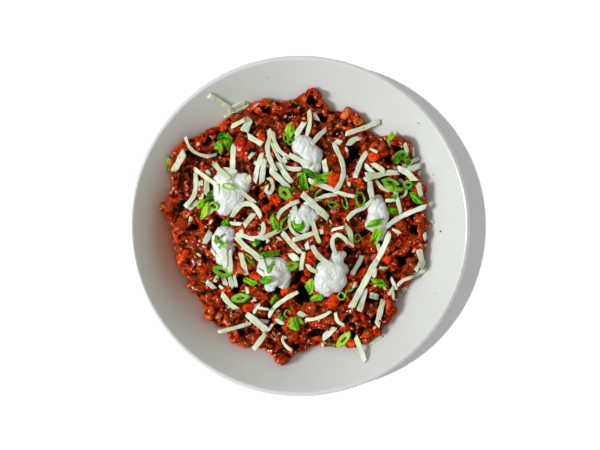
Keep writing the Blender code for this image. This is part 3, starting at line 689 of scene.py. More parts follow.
def tomato_finish():
    """Red flesh, orange where it is thin, with seeds' dimples and sauce in them."""
    tomato = Finish("cooked tomato", {"IOR": 1.42, "Specular IOR Level": 0.0})
    clean = tomato.shares("tint")[0]
    ripe = tomato.fade(tomato.noise(3.2, 3) + 0.1 * clean, 0.4, 0.65)
    colour = tomato.mix(ripe, (0.45, 0.010, 0.002), (0.74, 0.062, 0.005))
    sauce = tomato.fade(tomato.noise(1.7, 3, 0.6, 1.0) - 0.16 * clean, 0.47, 0.56)
    colour = tomato.mix(sauce, colour, (0.20, 0.012, 0.002))
    skin = tomato.bump(tomato.noise(1.8, 2, 0.5, 1.0), 0.35)
    tomato.wet(0.010, (0.98, 0.91, 0.86), 0.05 + 0.08 * tomato.noise(2.5, 2), skin)
    return tomato.done(colour, 0.5, skin)


def floor_finish():
    floor = Finish("pale floor", {"IOR": 1.3, "Specular IOR Level": 0.1})
    return floor.done(floor.mix(floor.noise(60, 2), (0.71, 0.725, 0.765), (0.73, 0.745, 0.785)), 0.9)


# The bowl.


def wall_middle(share):
    """(radius, height, slope) of the middle of the wall, from the flat floor (0) to the lip (1)."""
    reach = RIM_RADIUS - WALL / 2 - FLAT_RADIUS
    climb = BOWL_HEIGHT - WALL / 2 - FLOOR_MIDDLE
    slope = math.atan(WALL_CURVE * climb / reach * share ** (WALL_CURVE - 1))
    return FLAT_RADIUS + reach * share, FLOOR_MIDDLE + climb * share**WALL_CURVE, slope


def wall_side(side):
    """(radius, height) along the inner (-1) or outer (1) face of the wall."""
    points = []
    for station in range(WALL_STATIONS + 1):
        radius, height, slope = wall_middle(station / WALL_STATIONS)
        out, down = side * WALL / 2 * math.sin(slope), side * WALL / 2 * math.cos(slope)
        points.append((radius + out, height - down))
    return points


INSIDE = np.array(wall_side(-1)).T


def bowl_inside(radius):
    """Height of the bowl's inner face at a radius, or at each of many."""
    return np.interp(radius, *INSIDE)


def bowl_at(x, y):
    return float(bowl_inside(math.hypot(x, y)))


def above_bowl(points):
    """How far each point lies above the bowl's inner face."""
    return points[:, 2] - bowl_inside(np.hypot(*points[:, :2].T))


def bounce_shade_shares(points):
    """How much painted shade, reddened as by light bounced from the chili, lies on each point of the bowl's
    inner face.
    """
    direction, sweep, middle, width, share = BOUNCE_SHADE
    away = off_course(np.degrees(np.arctan2(points[:, 1], points[:, 0])), direction)
    radius = np.hypot(*points[:, :2].T)
    oil = share * np.exp(-((away / sweep) ** 2) - ((radius - middle) / width) ** 2)
    return np.repeat((oil * (above_bowl(points) > -0.3))[:, None], 3, axis=1)


def spin(maker, points, first, degrees, steps, near):
    """Turns a line of points round the Z axis. The line is closed if first is 0, and open if it is 1."""
    edges = [maker.edges.new((points[index - 1], points[index])) for index in range(first, len(points))]
    bmesh.ops.spin(maker, geom=points + edges, axis=(0, 0, 1), cent=(0, 0, 0), angle=math.radians(degrees),
                   steps=steps, use_merge=degrees == 360, use_duplicate=False)
    bmesh.ops.remove_doubles(maker, verts=maker.verts, dist=near)


def make_bowl():
    """Turns the wall, the rounded lip and the foot ring from one profile."""
    inside = wall_side(-1)
    radius, height, slope = wall_middle(1)
    angles = [slope + math.pi / 2 - math.pi * station / 10 for station in range(1, 10)]
    lip = [(radius + WALL / 2 * math.cos(angle), height + WALL / 2 * math.sin(angle)) for angle in angles]
    under = FLOOR_MIDDLE - WALL / 2
    inner = FOOT_RADIUS - FOOT_WIDTH
    half = FOOT_BEVEL / 2
    side = [(0, under - FOOT_BEVEL), (FOOT_DRAFT, FOOT_BEVEL * 1.5), (half, half), (FOOT_BEVEL, 0)]
    foot = [(FOOT_RADIUS - inset, up) for inset, up in side]
    foot += [(inner + inset, up) for inset, up in side[::-1]]
    profile = [(0, inside[0][1]), (FLAT_RADIUS / 2, inside[0][1])] + inside + lip + wall_side(1)[:0:-1]
    profile += foot + [(inner - FOOT_BEVEL, under), (0, under)]
    turned = bmesh.new()
    spin(turned, [turned.verts.new((out * MM, 0, up * MM)) for out, up in profile], 1, 360, BOWL_STEPS, 1e-6)
    mesh = to_mesh(turned, "coupe bowl")
    set_colour(mesh, "oil", bounce_shade_shares(mesh_points(mesh)))
    add_piece("coupe_bowl", mesh, glaze_finish(), ["bowl"])


# What lies in the bowl.


class Ground:
    """Heights of what lies in the bowl, on a square grid, so that the next thing can be laid on it."""

    def __init__(self):
        self.line = np.linspace(-REACH, REACH, int(2 * REACH / CELL) + 1)
        self.height = bowl_inside(np.hypot(*np.meshgrid(self.line, self.line, indexing="ij")))

    def cell(self, x, y):
        steps = np.rint((np.stack([x, y]) + REACH) / CELL).astype(int)
        return tuple(np.clip(steps, 0, len(self.line) - 1))

    def at(self, x, y):
        return self.height[self.cell(x, y)]

    def cover(self, mesh, soft=0.0):
        """Raises the ground to a piece that now lies on it. soft is how far the next thing sinks into it."""
        top = heights_of(mesh)
        points = mesh_points(mesh)[:, :2]
        low, high = self.cell(*points.min(axis=0)), self.cell(*points.max(axis=0))
        for spot in itertools.product(range(low[0], high[0] + 1), range(low[1], high[1] + 1)):
            height = top(*self.line[list(spot)])
            if height is not None:
                self.height[spot] = max(self.height[spot], height - soft)

    def blurred(self, sigma):
        """The heights smoothed over that many millimetres."""
        across, along = np.meshgrid(*[np.fft.fftfreq(len(self.line))] * 2, indexing="ij")
        keep = np.exp(-2 * (math.pi * sigma / CELL) ** 2 * (across**2 + along**2))
        return np.fft.ifft2(np.fft.fft2(self.height) * keep).real


def heap_edge(height, turn):
    """How far the heap reaches in a direction, in radians."""
    reach = FLAT_RADIUS
    while height((reach + 0.5) * math.cos(turn), (reach + 0.5) * math.sin(turn)) is not None:
        reach += 0.5
    return reach


def gap_depth(x, y):
    """How deep the gaps between the clumps go at a point."""
    spot = Vector((x, y, 0)) / 3.2
    x, y = x + 1.5 * noise.noise(spot), y + 1.5 * noise.noise(spot + Vector((40, 0, 0)))
    centre_x, centre_y, half_width, half_length, turn, deep = GAPS.T
    cos, sin = np.cos(np.radians(turn)), np.sin(np.radians(turn))
    along = ((x - centre_x) * cos + (y - centre_y) * sin) / (half_length * GAP_SOFT)
    across = ((y - centre_y) * cos - (x - centre_x) * sin) / (half_width * GAP_SOFT)
    return float((deep * np.exp(-((along**2 + across**2) ** 2))).max())


def lump_place(spread, x, y, z, radius, flat=(0.6, 0.95), longest=1.5):
    """Where a lump goes: stretched and turned at random, in metres."""
    long = spread.uniform(0.9, longest)
    stretch = Matrix.Diagonal((long, spread.uniform(0.75, 1.05) / math.sqrt(long), spread.uniform(*flat), 1))
    turn = Euler((spread.uniform(-0.5, 0.5), spread.uniform(-0.5, 0.5), spread.uniform(0, 6.28)))
    place = Matrix.Translation(Vector((x, y, z)) * MM) @ turn.to_matrix().to_4x4()
    return place @ stretch @ Matrix.Scale(radius * MM, 4)


def clump_places(height):
    """Where the clumps of meat lie, as (x, y, z, radius)."""
    spread = random.Random(11)
    places = []
    for spacing, radii, keep in CLUMPS:
        count = int(RIM_RADIUS / spacing)
        for row, column in itertools.product(range(-count, count + 1), repeat=2):
            x = (column + 0.5 * (row % 2) + spread.uniform(-0.45, 0.45)) * spacing
            y = (row + spread.uniform(-0.45, 0.45)) * spacing
            radius = spread.uniform(*radii)
            sunk = spread.uniform(0.35, 0.85) * radius
            chosen = spread.random() < keep
            tops = [height(x + 0.45 * radius * dx, y + 0.45 * radius * dy) for dx, dy in CROSS]
            gap = gap_depth(x, y)
            if chosen and None not in tops and gap <= NO_CLUMP:
                top = min(tops[0], min(tops[1:]) + 1) - gap - sunk
                places.append((x, y, max(top, bowl_at(x, y) + radius * 0.7), radius))
    turn = 0.0
    while turn < 2 * math.pi:
        radius = spread.uniform(*EDGE_RADII)
        reach = heap_edge(height, turn) - radius * spread.uniform(0.1, 0.6)
        for direction, more, width in EDGE_SWELLS:
            reach += more * math.exp(-((off_course(math.degrees(turn), direction) / width) ** 2))
        low = float(bowl_inside(reach)) + radius * 0.7
        steep = abs(off_course(math.degrees(turn), STEEP_SIDE[0])) < STEEP_SIDE[1]
        for rise in (0, spread.uniform(0.8, 1.4), spread.uniform(1.9, 2.6))[: 3 if steep else 2]:
            out = reach - rise * radius * (0.45 if steep else 0.7)
            places.append((out * math.cos(turn), out * math.sin(turn), low + rise * radius, radius))
        turn += radius * spread.uniform(0.8, 1.2) / reach
    return places


def lift_by_bowl(mesh, times):
    """Adds the height of the bowl's inner face to each point, or takes it off."""
    points = mesh_points(mesh)
    points[:, 2] += times * bowl_inside(np.hypot(*points[:, :2].T))
    set_points(mesh, points)


def keep_largest_shell(maker):
    """Deletes the small shells that the skinning leaves inside the heap."""
    left, largest = set(maker.verts), set()
    while left:
        shell, front = set(), {next(iter(left))}
        while front:
            shell |= front
            front = {edge.other_vert(point) for point in front for edge in point.link_edges} - shell
        left -= shell
        largest = max(largest, shell, key=len)
    bmesh.ops.delete(maker, geom=[point for point in maker.verts if point not in largest], context="VERTS")


def make_chili(ground, finish):
    """Clumps over a smaller core, skinned together, with mince and sauce worked into the skin."""
    part = frame["nodes"]["chili"].data
    core = bmesh.new()
    core.from_mesh(part)
    bmesh.ops.remove_doubles(core, verts=core.verts, dist=1e-6)
    bmesh.ops.subdivide_edges(core, edges=core.edges, cuts=1, use_grid_fill=True)
    for point in core.verts:
        x, y, z = point.co / MM
        above = z - bowl_at(x, y)
        low = bottom = bowl_at(x * CORE_SHRINK, y * CORE_SHRINK) + UNDERSIDE
        if above > 2:
            low = z - min((above - 1.5) / 3, 1) * (CORE_DROP + gap_depth(x, y))
        point.co = Vector((x * CORE_SHRINK, y * CORE_SHRINK, max(low, bottom))) * MM
    clumps = clump_places(heights_of(part))
    spread = random.Random(5)
    lump = ball(3)
    for clump in clumps:
        copy = lump.copy()
        copy.transform(lump_place(spread, *clump))
        core.from_mesh(copy)
        bpy.data.meshes.remove(copy)
    mesh = to_mesh(core, "chili core")
    points = mesh_points(mesh)
    push_out(mesh, 1.1 * noise_at(points, 3.2, 1) * np.clip(above_bowl(points) / 1.5 - 0.7, 0, 1))
    mesh = remeshed(mesh, CORE_VOXEL)
    lift_by_bowl(mesh, -1)
    cut = bmesh.new()
    cut.from_mesh(mesh)
    bmesh.ops.bisect_plane(
        cut, geom=cut.verts[:] + cut.edges[:] + cut.faces[:], dist=1e-6,
        plane_co=(0, 0, UNDERSIDE_CUT * MM), plane_no=(0, 0, 1), clear_inner=True,
    )
    keep_largest_shell(cut)
    ring = [edge for edge in cut.edges if edge.is_boundary]
    for share in UNDERSIDE_RINGS:
        grown = bmesh.ops.extrude_edge_only(cut, edges=ring)["geom"]
        ring = [item for item in grown if isinstance(item, bmesh.types.BMEdge)]
        for point in (item for item in grown if isinstance(item, bmesh.types.BMVert)):
            point.co = Vector((point.co.x * share, point.co.y * share, UNDERSIDE * MM))
    bmesh.ops.holes_fill(cut, edges=ring, sides=0)
    bmesh.ops.triangulate(cut, faces=[face for face in cut.faces if len(face.verts) > 4])
    mesh = to_mesh(cut, "chili")
    lift_by_bowl(mesh, 1)
    work_skin(mesh)
    ground.cover(mesh)
    colour_relief(mesh, ground, clumps)
    add_piece("chili_heap", mesh, finish, ["chili"])


def standing_out(points, mean, normals):
    return ((points - mean) * normals).sum(axis=1)


def work_skin(mesh):
    """Works mince into the skin, fills its creases with sauce and keeps it clear of the bowl."""
    edges = mesh_edges(mesh)
    points = neighbour_mean(mesh_points(mesh), edges, 3)
    set_points(mesh, points)
    normals = mesh_normals(mesh)
    bent = warped(points, 3.5, 4, 1.4)
    lift = 1.4 * bulges(bent, 7, 7) + 0.6 * bulges(bent, 3.0, 8) + 0.4 * noise_at(bent, 2.4, 13) - 1.1
    lift -= PIT_DEPTH * np.clip(-2.4 * noise_at(bent, 6.5, 12) - 0.5, 0, 1)
    clear = np.clip((above_bowl(points) - 0.8) / 1.5, 0, 1)
    points = points + normals * (lift * clear)[:, None]
    depth = standing_out(points, neighbour_mean(points, edges, 8), normals)
    fill = np.clip(-SAUCE_DEPTH - depth, 0, None) * 0.75
    points = points + normals * fill[:, None]
    grain = 0.25 * noise_at(points, 1.9, 10)
    points = points + normals * (grain * clear * np.clip(1 - 1.4 * fill, 0.25, 1))[:, None]
    points = neighbour_mean(points, edges, 1)
    points[:, 2] += np.maximum(CLEARANCE - above_bowl(points), 0)
    set_points(mesh, points)


def colour_relief(mesh, ground, clumps):
    """Stores how far each point stands out, how deep it lies and which clump it belongs to."""
    points, normals, edges = mesh_points(mesh), mesh_normals(mesh), mesh_edges(mesh)
    small = neighbour_mean(points, edges, 3)
    wide = neighbour_mean(small, edges, 22)
    # These shares drive painted shade in the creases and hollows and painted light on the tops.
    grain = 0.5 + standing_out(points, small, normals) / 0.9 + standing_out(points, wide, normals) / 5
    deep = np.clip((above_bowl(points) - 1) / 5, 0, 1)
    # Painted shade, with thinner sauce, along the thin edge of the heap.
    grain -= EDGE_SHADE * (1 - deep)
    level = ground.blurred(LEVEL_BLUR)[ground.cell(points[:, 0], points[:, 1])]
    hollow = (level - points[:, 2] - HOLLOW_START) / HOLLOW_DEPTH * deep
    tree = KDTree(len(clumps))
    for index, clump in enumerate(clumps):
        tree.insert(clump[:3], index)
    tree.balance()
    spread = random.Random(3)
    shades = [spread.random() for _ in clumps]
    batch = np.array([[shades[tree.find(point)[1]]] for point in points])
    batch = neighbour_mean(batch, edges, 2)[:, 0]
    set_colour(mesh, "relief", np.clip(np.stack([grain, hollow, batch], axis=1), 0, 1))


def make_mince(ground, finish):
    """Loose grains of meat and bits of skin on top of the heap, half sunk in the sauce."""
    height = heights_of(frame["nodes"]["chili"].data)
    spread = random.Random(23)
    grains = Scatter("relief")
    shapes = [ball(2), ball(1)]
    level = ground.blurred(LEVEL_BLUR)
    while grains.count < MINCE_POINTS:
        x, y = spread.uniform(-90, 90), spread.uniform(-90, 90)
        radius = spread.uniform(0.5, 1.3) * (1.5 if spread.random() < 0.2 else 1)
        shade = spread.random()
        if height(x, y) is None or gap_depth(x, y) > NO_MINCE:
            continue
        z = float(ground.at(x, y))
        # How deep the grain lies, which the finish paints as shade.
        hollow = (float(level[ground.cell(x, y)]) - z - HOLLOW_START) / HOLLOW_DEPTH
        shape = shapes[radius < 0.9].copy()
        sunk = radius * spread.uniform(-0.1, 0.6)
        shape.transform(lump_place(spread, x, y, z - sunk, radius, (0.5, 0.9), 2.2))
        push_out(shape, noise_at(mesh_points(shape), 1.1, shade) * radius * 0.7)
        grains.add(shape, (spread.uniform(0.4, 0.95), min(max(hollow, 0), 1), shade))
    ground.cover(grains.piece("loose_mince", finish, "chili").data, 0.5)


def make_cream(name, lobes, ground, finish):
    """A spoonful: lobes run together, dragged into soft ridges."""
    blob = bmesh.new()
    for x, y, rise, radius in lobes:
        level = float(np.median(ground.at(*(CROSS * 2 + (x, y)).T)))
        place = Matrix.Translation(Vector((x, y, level + rise)) * MM) @ Matrix.Diagonal((1, 1, LOBE_FLAT, 1))
        bmesh.ops.create_icosphere(blob, subdivisions=3, radius=radius * MM, matrix=place)
    mesh = remeshed(to_mesh(blob, name), CREAM_VOXEL)
    points = neighbour_mean(mesh_points(mesh), mesh_edges(mesh), 14)
    set_points(mesh, points)
    seed = sum(map(ord, name)) % 13
    bent = warped(points, 5, seed + 3, 2)
    lift = 0.55 * bulges(bent * (1.0, 0.6, 1.0), 5.5, seed) + 0.25 * bulges(bent, 2.6, seed + 1) - 0.4
    push_out(mesh, lift + 0.17 * noise_at(points, 1.7, seed + 2))
    ground.cover(mesh, 0.8)
    return add_piece(name.replace("cream", "sour_cream"), mesh, finish, [name])


def curve_through(numbers, step):
    """Points a step apart on a smooth curve through x, y, x, y, ..., and how far along it each one lies."""
    ends = list(np.reshape(numbers, (-1, 2)).astype(float))
    if len(ends) == 2:
        ends.insert(1, (ends[0] + ends[1]) / 2)
    padded = [2 * ends[0] - ends[1]] + ends + [2 * ends[-1] - ends[-2]]
    dense = []
    for before, start, end, after in zip(padded, padded[1:], padded[2:], padded[3:]):
        for share in np.linspace(0, 1, 24, endpoint=False):
            pull = (2 * start + (end - before) * share
                    + (2 * before - 5 * start + 4 * end - after) * share**2
                    + (3 * start - before - 3 * end + after) * share**3)
            dense.append(pull / 2)
    dense = np.array(dense + [ends[-1]])
    gone = np.concatenate([[0], np.cumsum(np.hypot(*np.diff(dense, axis=0).T))])
    even = np.linspace(0, gone[-1], max(int(round(gone[-1] / step)), 3) + 1)
    return np.stack([np.interp(even, gone, line) for line in dense.T], axis=1), even


def edges_along(maker, axis):
    return [edge for edge in maker.edges if abs(edge.verts[0].co[axis] - edge.verts[1].co[axis]) > 0.5]


@functools.cache
def straight_bar(segments):
    """A bar of length 1 along x with a rounded square section of side 1."""
    bar = bmesh.new()
    bmesh.ops.create_cube(bar, size=1)
    bmesh.ops.translate(bar, verts=bar.verts, vec=(0.5, 0, 0))
    bmesh.ops.bevel(bar, geom=edges_along(bar, 0), offset=0.16, offset_type="OFFSET", segments=2,
                    profile=0.5, affect="EDGES", material=-1)
    for axis, cuts in ((1, 2), (0, segments - 1)):
        bmesh.ops.subdivide_edges(bar, edges=edges_along(bar, axis), cuts=cuts, use_grid_fill=True)
    return to_mesh(bar, f"bar {segments}")


def resting_slope(gone, under):
    """Slope of a stiff straight bar that rests on two of the points, one on each side of its middle."""
    middle = len(gone) // 2
    rests = []
    for first, last in itertools.product(range(middle), range(middle, len(gone))):
        slope = (under[last] - under[first]) / (gone[last] - gone[first])
        rests.append((under[first] + slope * (gone[middle] - gone[first]), slope))
    return max(rests)[1]


def lay_shred(joined, number, shred, ground, sink):
    """Bends a bar along its path, rests it on the ground and adds it to the joined mesh."""
    spread = random.Random(100 + number)
    width = shred[0]
    thick = SHRED_THICKNESS + (0.3 if width < 2.3 else 1.2 if width > 5 else 0)
    path, gone = curve_through(shred[1:], STATION)
    forward = np.gradient(path, axis=0)
    forward /= np.hypot(*forward.T)[:, None]
    sideways = np.stack([-forward[:, 1], forward[:, 0]], axis=1)
    shares = np.array(SHRED_LINES)
    spans = np.array([ground.at(*(path + sideways * width * share).T) for share in shares])
    bare = (spans.mean(axis=0) - bowl_inside(np.hypot(*path.T)) < 0.8).mean() > 0.6
    steepest = 1.0 if bare else 0.3
    lean = np.clip((spans[4] + spans[3] - spans[1] - spans[0]) / (1.3 * width), -steepest, steepest)
    lean = lean.mean() + spread.uniform(-0.08, 0.08)
    cos, sin = math.cos(lean), math.sin(lean)
    under = np.sort(spans - width * shares[:, None] * sin, axis=0)[-2] - sink
    line = gone * np.clip(resting_slope(gone, under), -steepest, steepest)
    rest = line + (under - line - SHRED_STIFFNESS * (gone[:, None] - gone[None, :]) ** 2).max(axis=1)
    rest = np.convolve(np.pad(rest, 1, mode="edge"), (0.25, 0.5, 0.25), mode="valid")
    segments = len(path) - 1
    start = len(joined.verts)
    joined.from_mesh(straight_bar(segments))
    joined.verts.ensure_lookup_table()
    slants = (spread.uniform(-0.9, 0.9), spread.uniform(-0.9, 0.9))
    tapers = [(spread.uniform(0.55, 1.0), spread.uniform(0.6, 2.8)) for _ in range(2)]
    wave = spread.uniform(0, 6)
    for point in joined.verts[start:]:
        share, across, up = point.co
        here = share * segments
        index = min(int(here), segments - 1)
        part = here - index
        centre, side, level = (
            row[index] * (1 - part) + row[index + 1] * part for row in (path, sideways, rest)
        )
        slim = 1.0
        for (least, run), end in zip(tapers, (share * gone[-1], (1 - share) * gone[-1])):
            slim *= least + (1 - least) * math.sqrt(min(end / run, 1))
        reach = across * width * slim * (1 + 0.09 * math.sin(wave + here * 0.9))
        dent = 0.16 * (1 - (2 * across) ** 2) if up > 0 else 0
        pull = (slants[0] * (1 - share) ** 6 + slants[1] * share**6) * reach
        high = level + thick / 2 + (up * thick * max(slim, 0.6) - dent) * cos + reach * sin
        flat = centre + side * (reach * cos - up * thick * sin) + forward[index + 1] * pull
        spot = Vector((*flat, high))
        rough = noise.noise(spot / 1.4) * 0.2
        point.co = (spot + Vector((*(side * across), up)) * rough) * MM
    for share in (-0.5, -0.3, -0.1, 0.1, 0.3, 0.5):
        cells = ground.cell(*(path + sideways * width * share).T)
        ground.height[cells] = np.maximum(ground.height[cells], rest + thick + width * share * sin)


def make_cheese(ground, finish):
    joined = bmesh.new()
    for first, shreds, sink in ((200, SUNK_SHREDS, SUNK_SINK), (0, SHREDS, SHRED_SINK)):
        for number, shred in enumerate(shreds, first):
            lay_shred(joined, number, shred, ground, sink)
    add_piece("cheese_shreds", to_mesh(joined, "cheese shreds"), finish)


def make_crumbs(name, rows, layer, shares, ground, finish, slot):
    """Small broken bits that lie where they fell."""
    spread = random.Random(len(rows))
    bits = Scatter(layer)
    grain = ball(2)
    for x, y, size in rows:
        bit = grain.copy()
        place = laid(ground, x, y, size, spread.uniform(0, 360), -0.2 * size)
        bit.transform(Matrix.Diagonal((size * 0.6, size * spread.uniform(0.35, 0.5), size * 0.35, 1)))
        push_out(bit, noise_at(mesh_points(bit) * MM, size * 0.5, x) * size * 0.2 / MM)
        bit.transform(place)
        bits.add(bit, shares)
    bits.piece(name, finish, slot)


def bed_at(ground, x, y, reach):
    """The height and the two slopes of what lies within reach of a point."""
    steps = np.linspace(-1, 1, 7)
    across, along = [grid.ravel() * reach for grid in np.meshgrid(steps, steps)]
    inside = np.hypot(across, along) <= reach
    across, along = across[inside], along[inside]
    heights = ground.at(x + across, y + along)
    table = np.stack([across, along, np.ones(len(across))], axis=1)
    slope_x, slope_y = np.clip(np.linalg.lstsq(table, heights, rcond=None)[0][:2], -0.5, 0.5)
    return float(np.percentile(heights - across * slope_x - along * slope_y, 75)), slope_x, slope_y


def laid(ground, x, y, reach, turn, sink, tip=(0, 0)):
    """Where a small thing goes so that it lies on the bed, turned and tipped, in millimetres."""
    level, slope_x, slope_y = bed_at(ground, x, y, reach)
    normal = Vector((-slope_x, -slope_y, 1)).normalized()
    lean = Vector((0, 0, 1)).rotation_difference(normal).to_matrix().to_4x4()
    tipped = Euler((math.radians(tip[0]), math.radians(tip[1]), 0)).to_matrix().to_4x4()
    turned = Matrix.Rotation(math.radians(turn), 4, "Z")
    return Matrix.Scale(MM, 4) @ Matrix.Translation((x, y, level - sink)) @ lean @ turned @ tipped


def make_beans(name, rows, bend, flat, boxy, ground, finish, slot):
    """Rounded pieces half sunk in the chili, kinked like a bean or broken like cooked tomato."""
    pieces = Scatter("tint")
    whole = ball(4)
    for number, (x, y, length, width, turn) in enumerate(rows):
        shape = whole.copy()
        deep = width * flat
        for point in shape.vertices:
            point.co = [math.copysign(abs(side) ** boxy, side) for side in point.co]
        shape.transform(Matrix.Diagonal((length / 2, width / 2, deep / 2, 1)))
        for point in shape.vertices:
            along = 2 * point.co.x / length
            point.co.y += bend * width * (along * along - 0.4)
            spot = point.co + Vector((31 * number, 0, 0))
            rough = noise.noise(spot / 3.5) * (1 - bend) * 1.5 + noise.noise(spot / 1.6) * 0.35
            point.co *= 1 + rough * 0.5 / max(point.co.length, 1)
        shape.transform(laid(ground, x, y, width * 0.4, turn, deep * 0.06))
        ground.cover(shape)
        pieces.add(shape, (1 - number % 5 / 4, number % 3 / 2, 0))
    pieces.piece(name, finish, slot)


def onion_ring(length, width, arc, height, slant, brightness, squeezed):
    """A slice of a hollow leaf lying on its cut face. A squeezed one has only a slit in the middle."""
    loop = bmesh.new()
    layer = loop.verts.layers.float_color.new("cut")
    points = []
    for out, up, pale in RING_SECTION:
        points.append(loop.verts.new((10 + out, 0, up)))
        points[-1][layer] = (pale, 0.5, brightness, 1)
    spin(loop, points, 0, arc, RING_STEPS, 1e-4)
    bmesh.ops.holes_fill(loop, edges=[edge for edge in loop.edges if edge.is_boundary], sides=0)
    mesh = to_mesh(loop, "ring")
    wall = min(RING_WALL if arc == 360 else CURL_WALL, width * 0.3)
    hole_long, hole_wide = (length * 0.4, width * 0.3) if squeezed else (length - 2 * wall, width - 2 * wall)
    for point in mesh.vertices:
        turn = math.atan2(point.co.y, point.co.x)
        out = math.hypot(point.co.x, point.co.y) - 9.5
        cos, sin = math.cos(turn), math.sin(turn)
        wave = 0.07 * math.sin(3 * turn + length) + 0.09 * noise.noise((2.2 * cos, 2.2 * sin, length * 3))
        half_long = (hole_long + (length - hole_long) * out) / 2
        half_wide = (hole_wide + (width - hole_wide) * out) / 2 * (1 - 0.22 * cos * cos)
        sag = 0.35 * height * (1 - out) if squeezed else 0
        point.co = (half_long * cos * (1 + wave), half_wide * sin * (1 - wave), point.co.z * height - sag)
        point.co.z += slant * point.co.x
    return mesh


def onion_leaf(length, width, fold, skew, brightness, cup, blunt, seed):
    """A flake cut slantwise from a leaf, arched across.

    cup turns its pale inside up, and blunt keeps its ends wide.
    """
    leaf = bmesh.new()
    layer = leaf.verts.layers.float_color.new("cut")
    bmesh.ops.create_grid(leaf, x_segments=20, y_segments=12, size=0.5)
    for point in leaf.verts:
        along, across = point.co.x, point.co.y
        vein = 0.5 + noise.noise((across * 7, along * 1.4, seed))
        vein += 0.4 * noise.noise((across * 16, along * 2, seed))
        point[layer] = (0, vein, brightness, 1)
        ragged = 1 + 0.16 * noise.noise((along * 6, math.copysign(3, across), seed))
        taper = (1 - 0.12 * abs(2 * along) if blunt else max(1 - abs(2 * along) ** 1.8, 0.05)) * ragged
        angle = 2 * across * math.radians(fold) * taper
        curve = width / (2 * math.sin(math.radians(min(fold, 80))))
        rise = curve * (math.cos(angle) - 1) * (-1 if cup else 1)
        side = curve * math.sin(angle)
        bow = 0.6 * math.sin(along * 5 + length)
        bow += 0.75 * noise.noise((along * length / 2.4, side / 2.0, seed))
        point.co = (along * length + skew * side, side, rise + bow)
    old = set(leaf.verts)
    bmesh.ops.solidify(leaf, geom=leaf.faces[:], thickness=LEAF_SKIN)
    for point in leaf.verts:
        rim = any(abs(edge.calc_length() - LEAF_SKIN) < 0.12 for edge in point.link_edges)
        inside = (point in old) == cup
        point[layer] = (0.3 if rim else 0.7 * inside, point[layer][1], brightness, 1)
    return to_mesh(leaf, "leaf")


def drape_moon(shape, x, y, level):
    """Bends a leaf round in its own plane, open to the back, and lets it hang over what lies under it."""
    for point in shape.vertices:
        bend = point.co.x / MOON_RADIUS
        out = MOON_RADIUS - point.co.y
        across, along = x + out * math.sin(bend), y - out * math.cos(bend)
        row, column = (across + REACH) / CELL, (along + REACH) / CELL
        top, left = int(row), int(column)
        down, right = row - top, column - left
        near, far = level[top : top + 2, left] * (1 - right) + level[top : top + 2, left + 1] * right
        point.co = Vector((across, along, near * (1 - down) + far * down + point.co.z + 0.9)) * MM


def make_onion(ground, finish):
    joined = bmesh.new()
    for number, (kind, x, y, length, width, turn, brightness) in enumerate(ONION):
        spread = random.Random(300 + number)
        tip = (spread.uniform(-14, 14), spread.uniform(-10, 10))
        length, width = length * 1.1, width * 1.2
        rise = -0.25 * width
        if kind == "leaf":
            blunt = spread.random() < 0.45
            skew = spread.uniform(0.4, 1.1) * spread.choice((-1, 1)) if blunt else spread.uniform(-0.6, 0.6)
            cup = spread.random() < 0.35
            fold = spread.uniform(40, 84)
            shape = onion_leaf(length, width, fold, skew, brightness, cup, blunt, number * 1.7)
        elif kind in ("drop", "moon"):
            shape = onion_leaf(length, width, 45, 0, brightness, False, False, number * 1.7)
        else:
            rise = 0.3
            arc = spread.uniform(190, 250) if kind == "curl" else 360
            height, slant = spread.uniform(1.6, 2.8), spread.uniform(-0.12, 0.12)
            shape = onion_ring(length, width, arc, height, slant, brightness, kind == "slit")
        if kind == "moon":
            drape_moon(shape, x, y, ground.blurred(0.9))
        else:
            shape.transform(laid(ground, x, y, width * 0.5, turn, rise, tip))
        ground.cover(shape)
        joined.from_mesh(shape)
        bpy.data.meshes.remove(shape)
    add_piece("spring_onion", to_mesh(joined, "spring onion"), finish)


# The stage.


def make_floor():
    floor = bmesh.new()
    bmesh.ops.create_grid(floor, x_segments=2, y_segments=2, size=FLOOR_HALF)
    table = in_scene("floor", to_mesh(floor, "floor"))
    table.data.materials.append(floor_finish())
    return table


def add_light(name, place, size, power, colour=(1, 1, 1), lit=()):
    """A round lamp that points at the origin. It lights everything, or only what lit names."""
    lamp = bpy.data.lights.new(name, "AREA")
    lamp.shape = "DISK"
    lamp.size = size
    lamp.energy = power
    lamp.color = colour
    holder = in_scene(name, lamp)
    holder.location = place
    holder.rotation_euler = Vector(place).to_track_quat("Z", "Y").to_euler()
    if lit:
        holder.light_linking.receiver_collection = bpy.data.collections.new(name)
        for thing in lit:
            holder.light_linking.receiver_collection.objects.link(thing)
    return holder


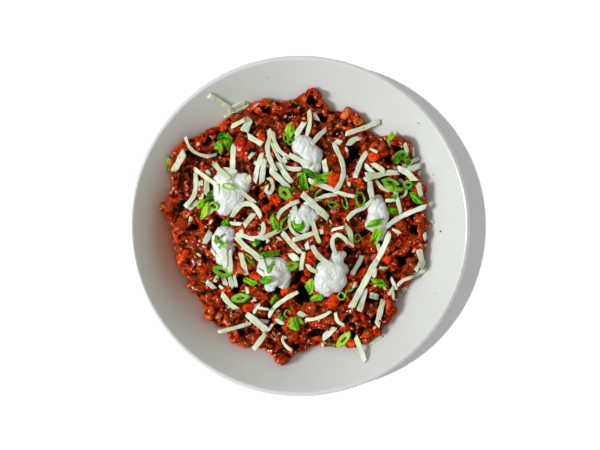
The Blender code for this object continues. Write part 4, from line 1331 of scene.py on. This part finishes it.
def light_scene(table, food):
    """A soft lamp low on the left and a little in front, and an even white sky."""
    window = add_light("window", (-1.0, -0.13, 0.91), 0.42, 17.2, (0.985, 1.0, 1.01), food)
    add_light("table lamp", (-1.27, 0.0, 4.0), 0.12, 210.0, lit=[table])
    sheen = add_light("sheen", (-0.8, -0.1, 1.05), 0.18, 34)
    fill = add_light("fill", (1.1, 0.1, 0.75), 0.9, 0.8, (1.0, 0.82, 0.60))
    window.visible_glossy = fill.visible_glossy = sheen.visible_diffuse = False
    sky = bpy.data.worlds.new("sky")
    bpy.context.scene.world = sky
    sky.use_nodes = True
    background = sky.node_tree.nodes["Background"].inputs
    background["Color"].default_value = (1.0, 0.975, 0.92, 1)
    background["Strength"].default_value = 0.57
    sky.cycles_visibility.glossy = False
    bpy.context.scene.view_settings.view_transform = "Standard"


def add_camera():
    camera = bpy.data.cameras.new("camera")
    camera.lens = LENS
    camera.sensor_width = SENSOR
    bpy.context.scene.camera = in_scene("camera", camera)
    bpy.context.scene.camera.location = CAMERA_PLACE


for thing in list(bpy.data.objects):
    bpy.data.objects.remove(thing)
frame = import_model()
add_camera()
pale_floor = make_floor()
make_bowl()
bed = Ground()
meat = chili_finish()
make_chili(bed, meat)
make_mince(bed, meat)
make_beans("beans", BEANS, 0.22, 0.8, 1.0, bed, bean_finish(), "bean")
make_beans("tomato_pieces", TOMATO, 0.0, 0.7, 0.6, bed, tomato_finish(), "tomato")
sour_cream = cream_finish()
creams = [make_cream(name, lobes, bed, sour_cream) for name, lobes in LOBES.items()]
cheese = cheese_finish()
make_cheese(bed, cheese)
make_crumbs("cheese_crumbs", CHEESE_CRUMBS, "tint", (0, 0, 0), bed, cheese, "cheese")
make_crumbs("pepper_specks", PEPPER_SPECKS, "relief", (0.2, 0.6, 0.5), bed, meat, "chili")
for spoonful in creams:
    bed.cover(spoonful.data, 0.2)
make_onion(bed, onion_finish())
food = [thing for thing in bpy.data.objects if thing.type == "MESH" and thing != pale_floor]
light_scene(pale_floor, food)
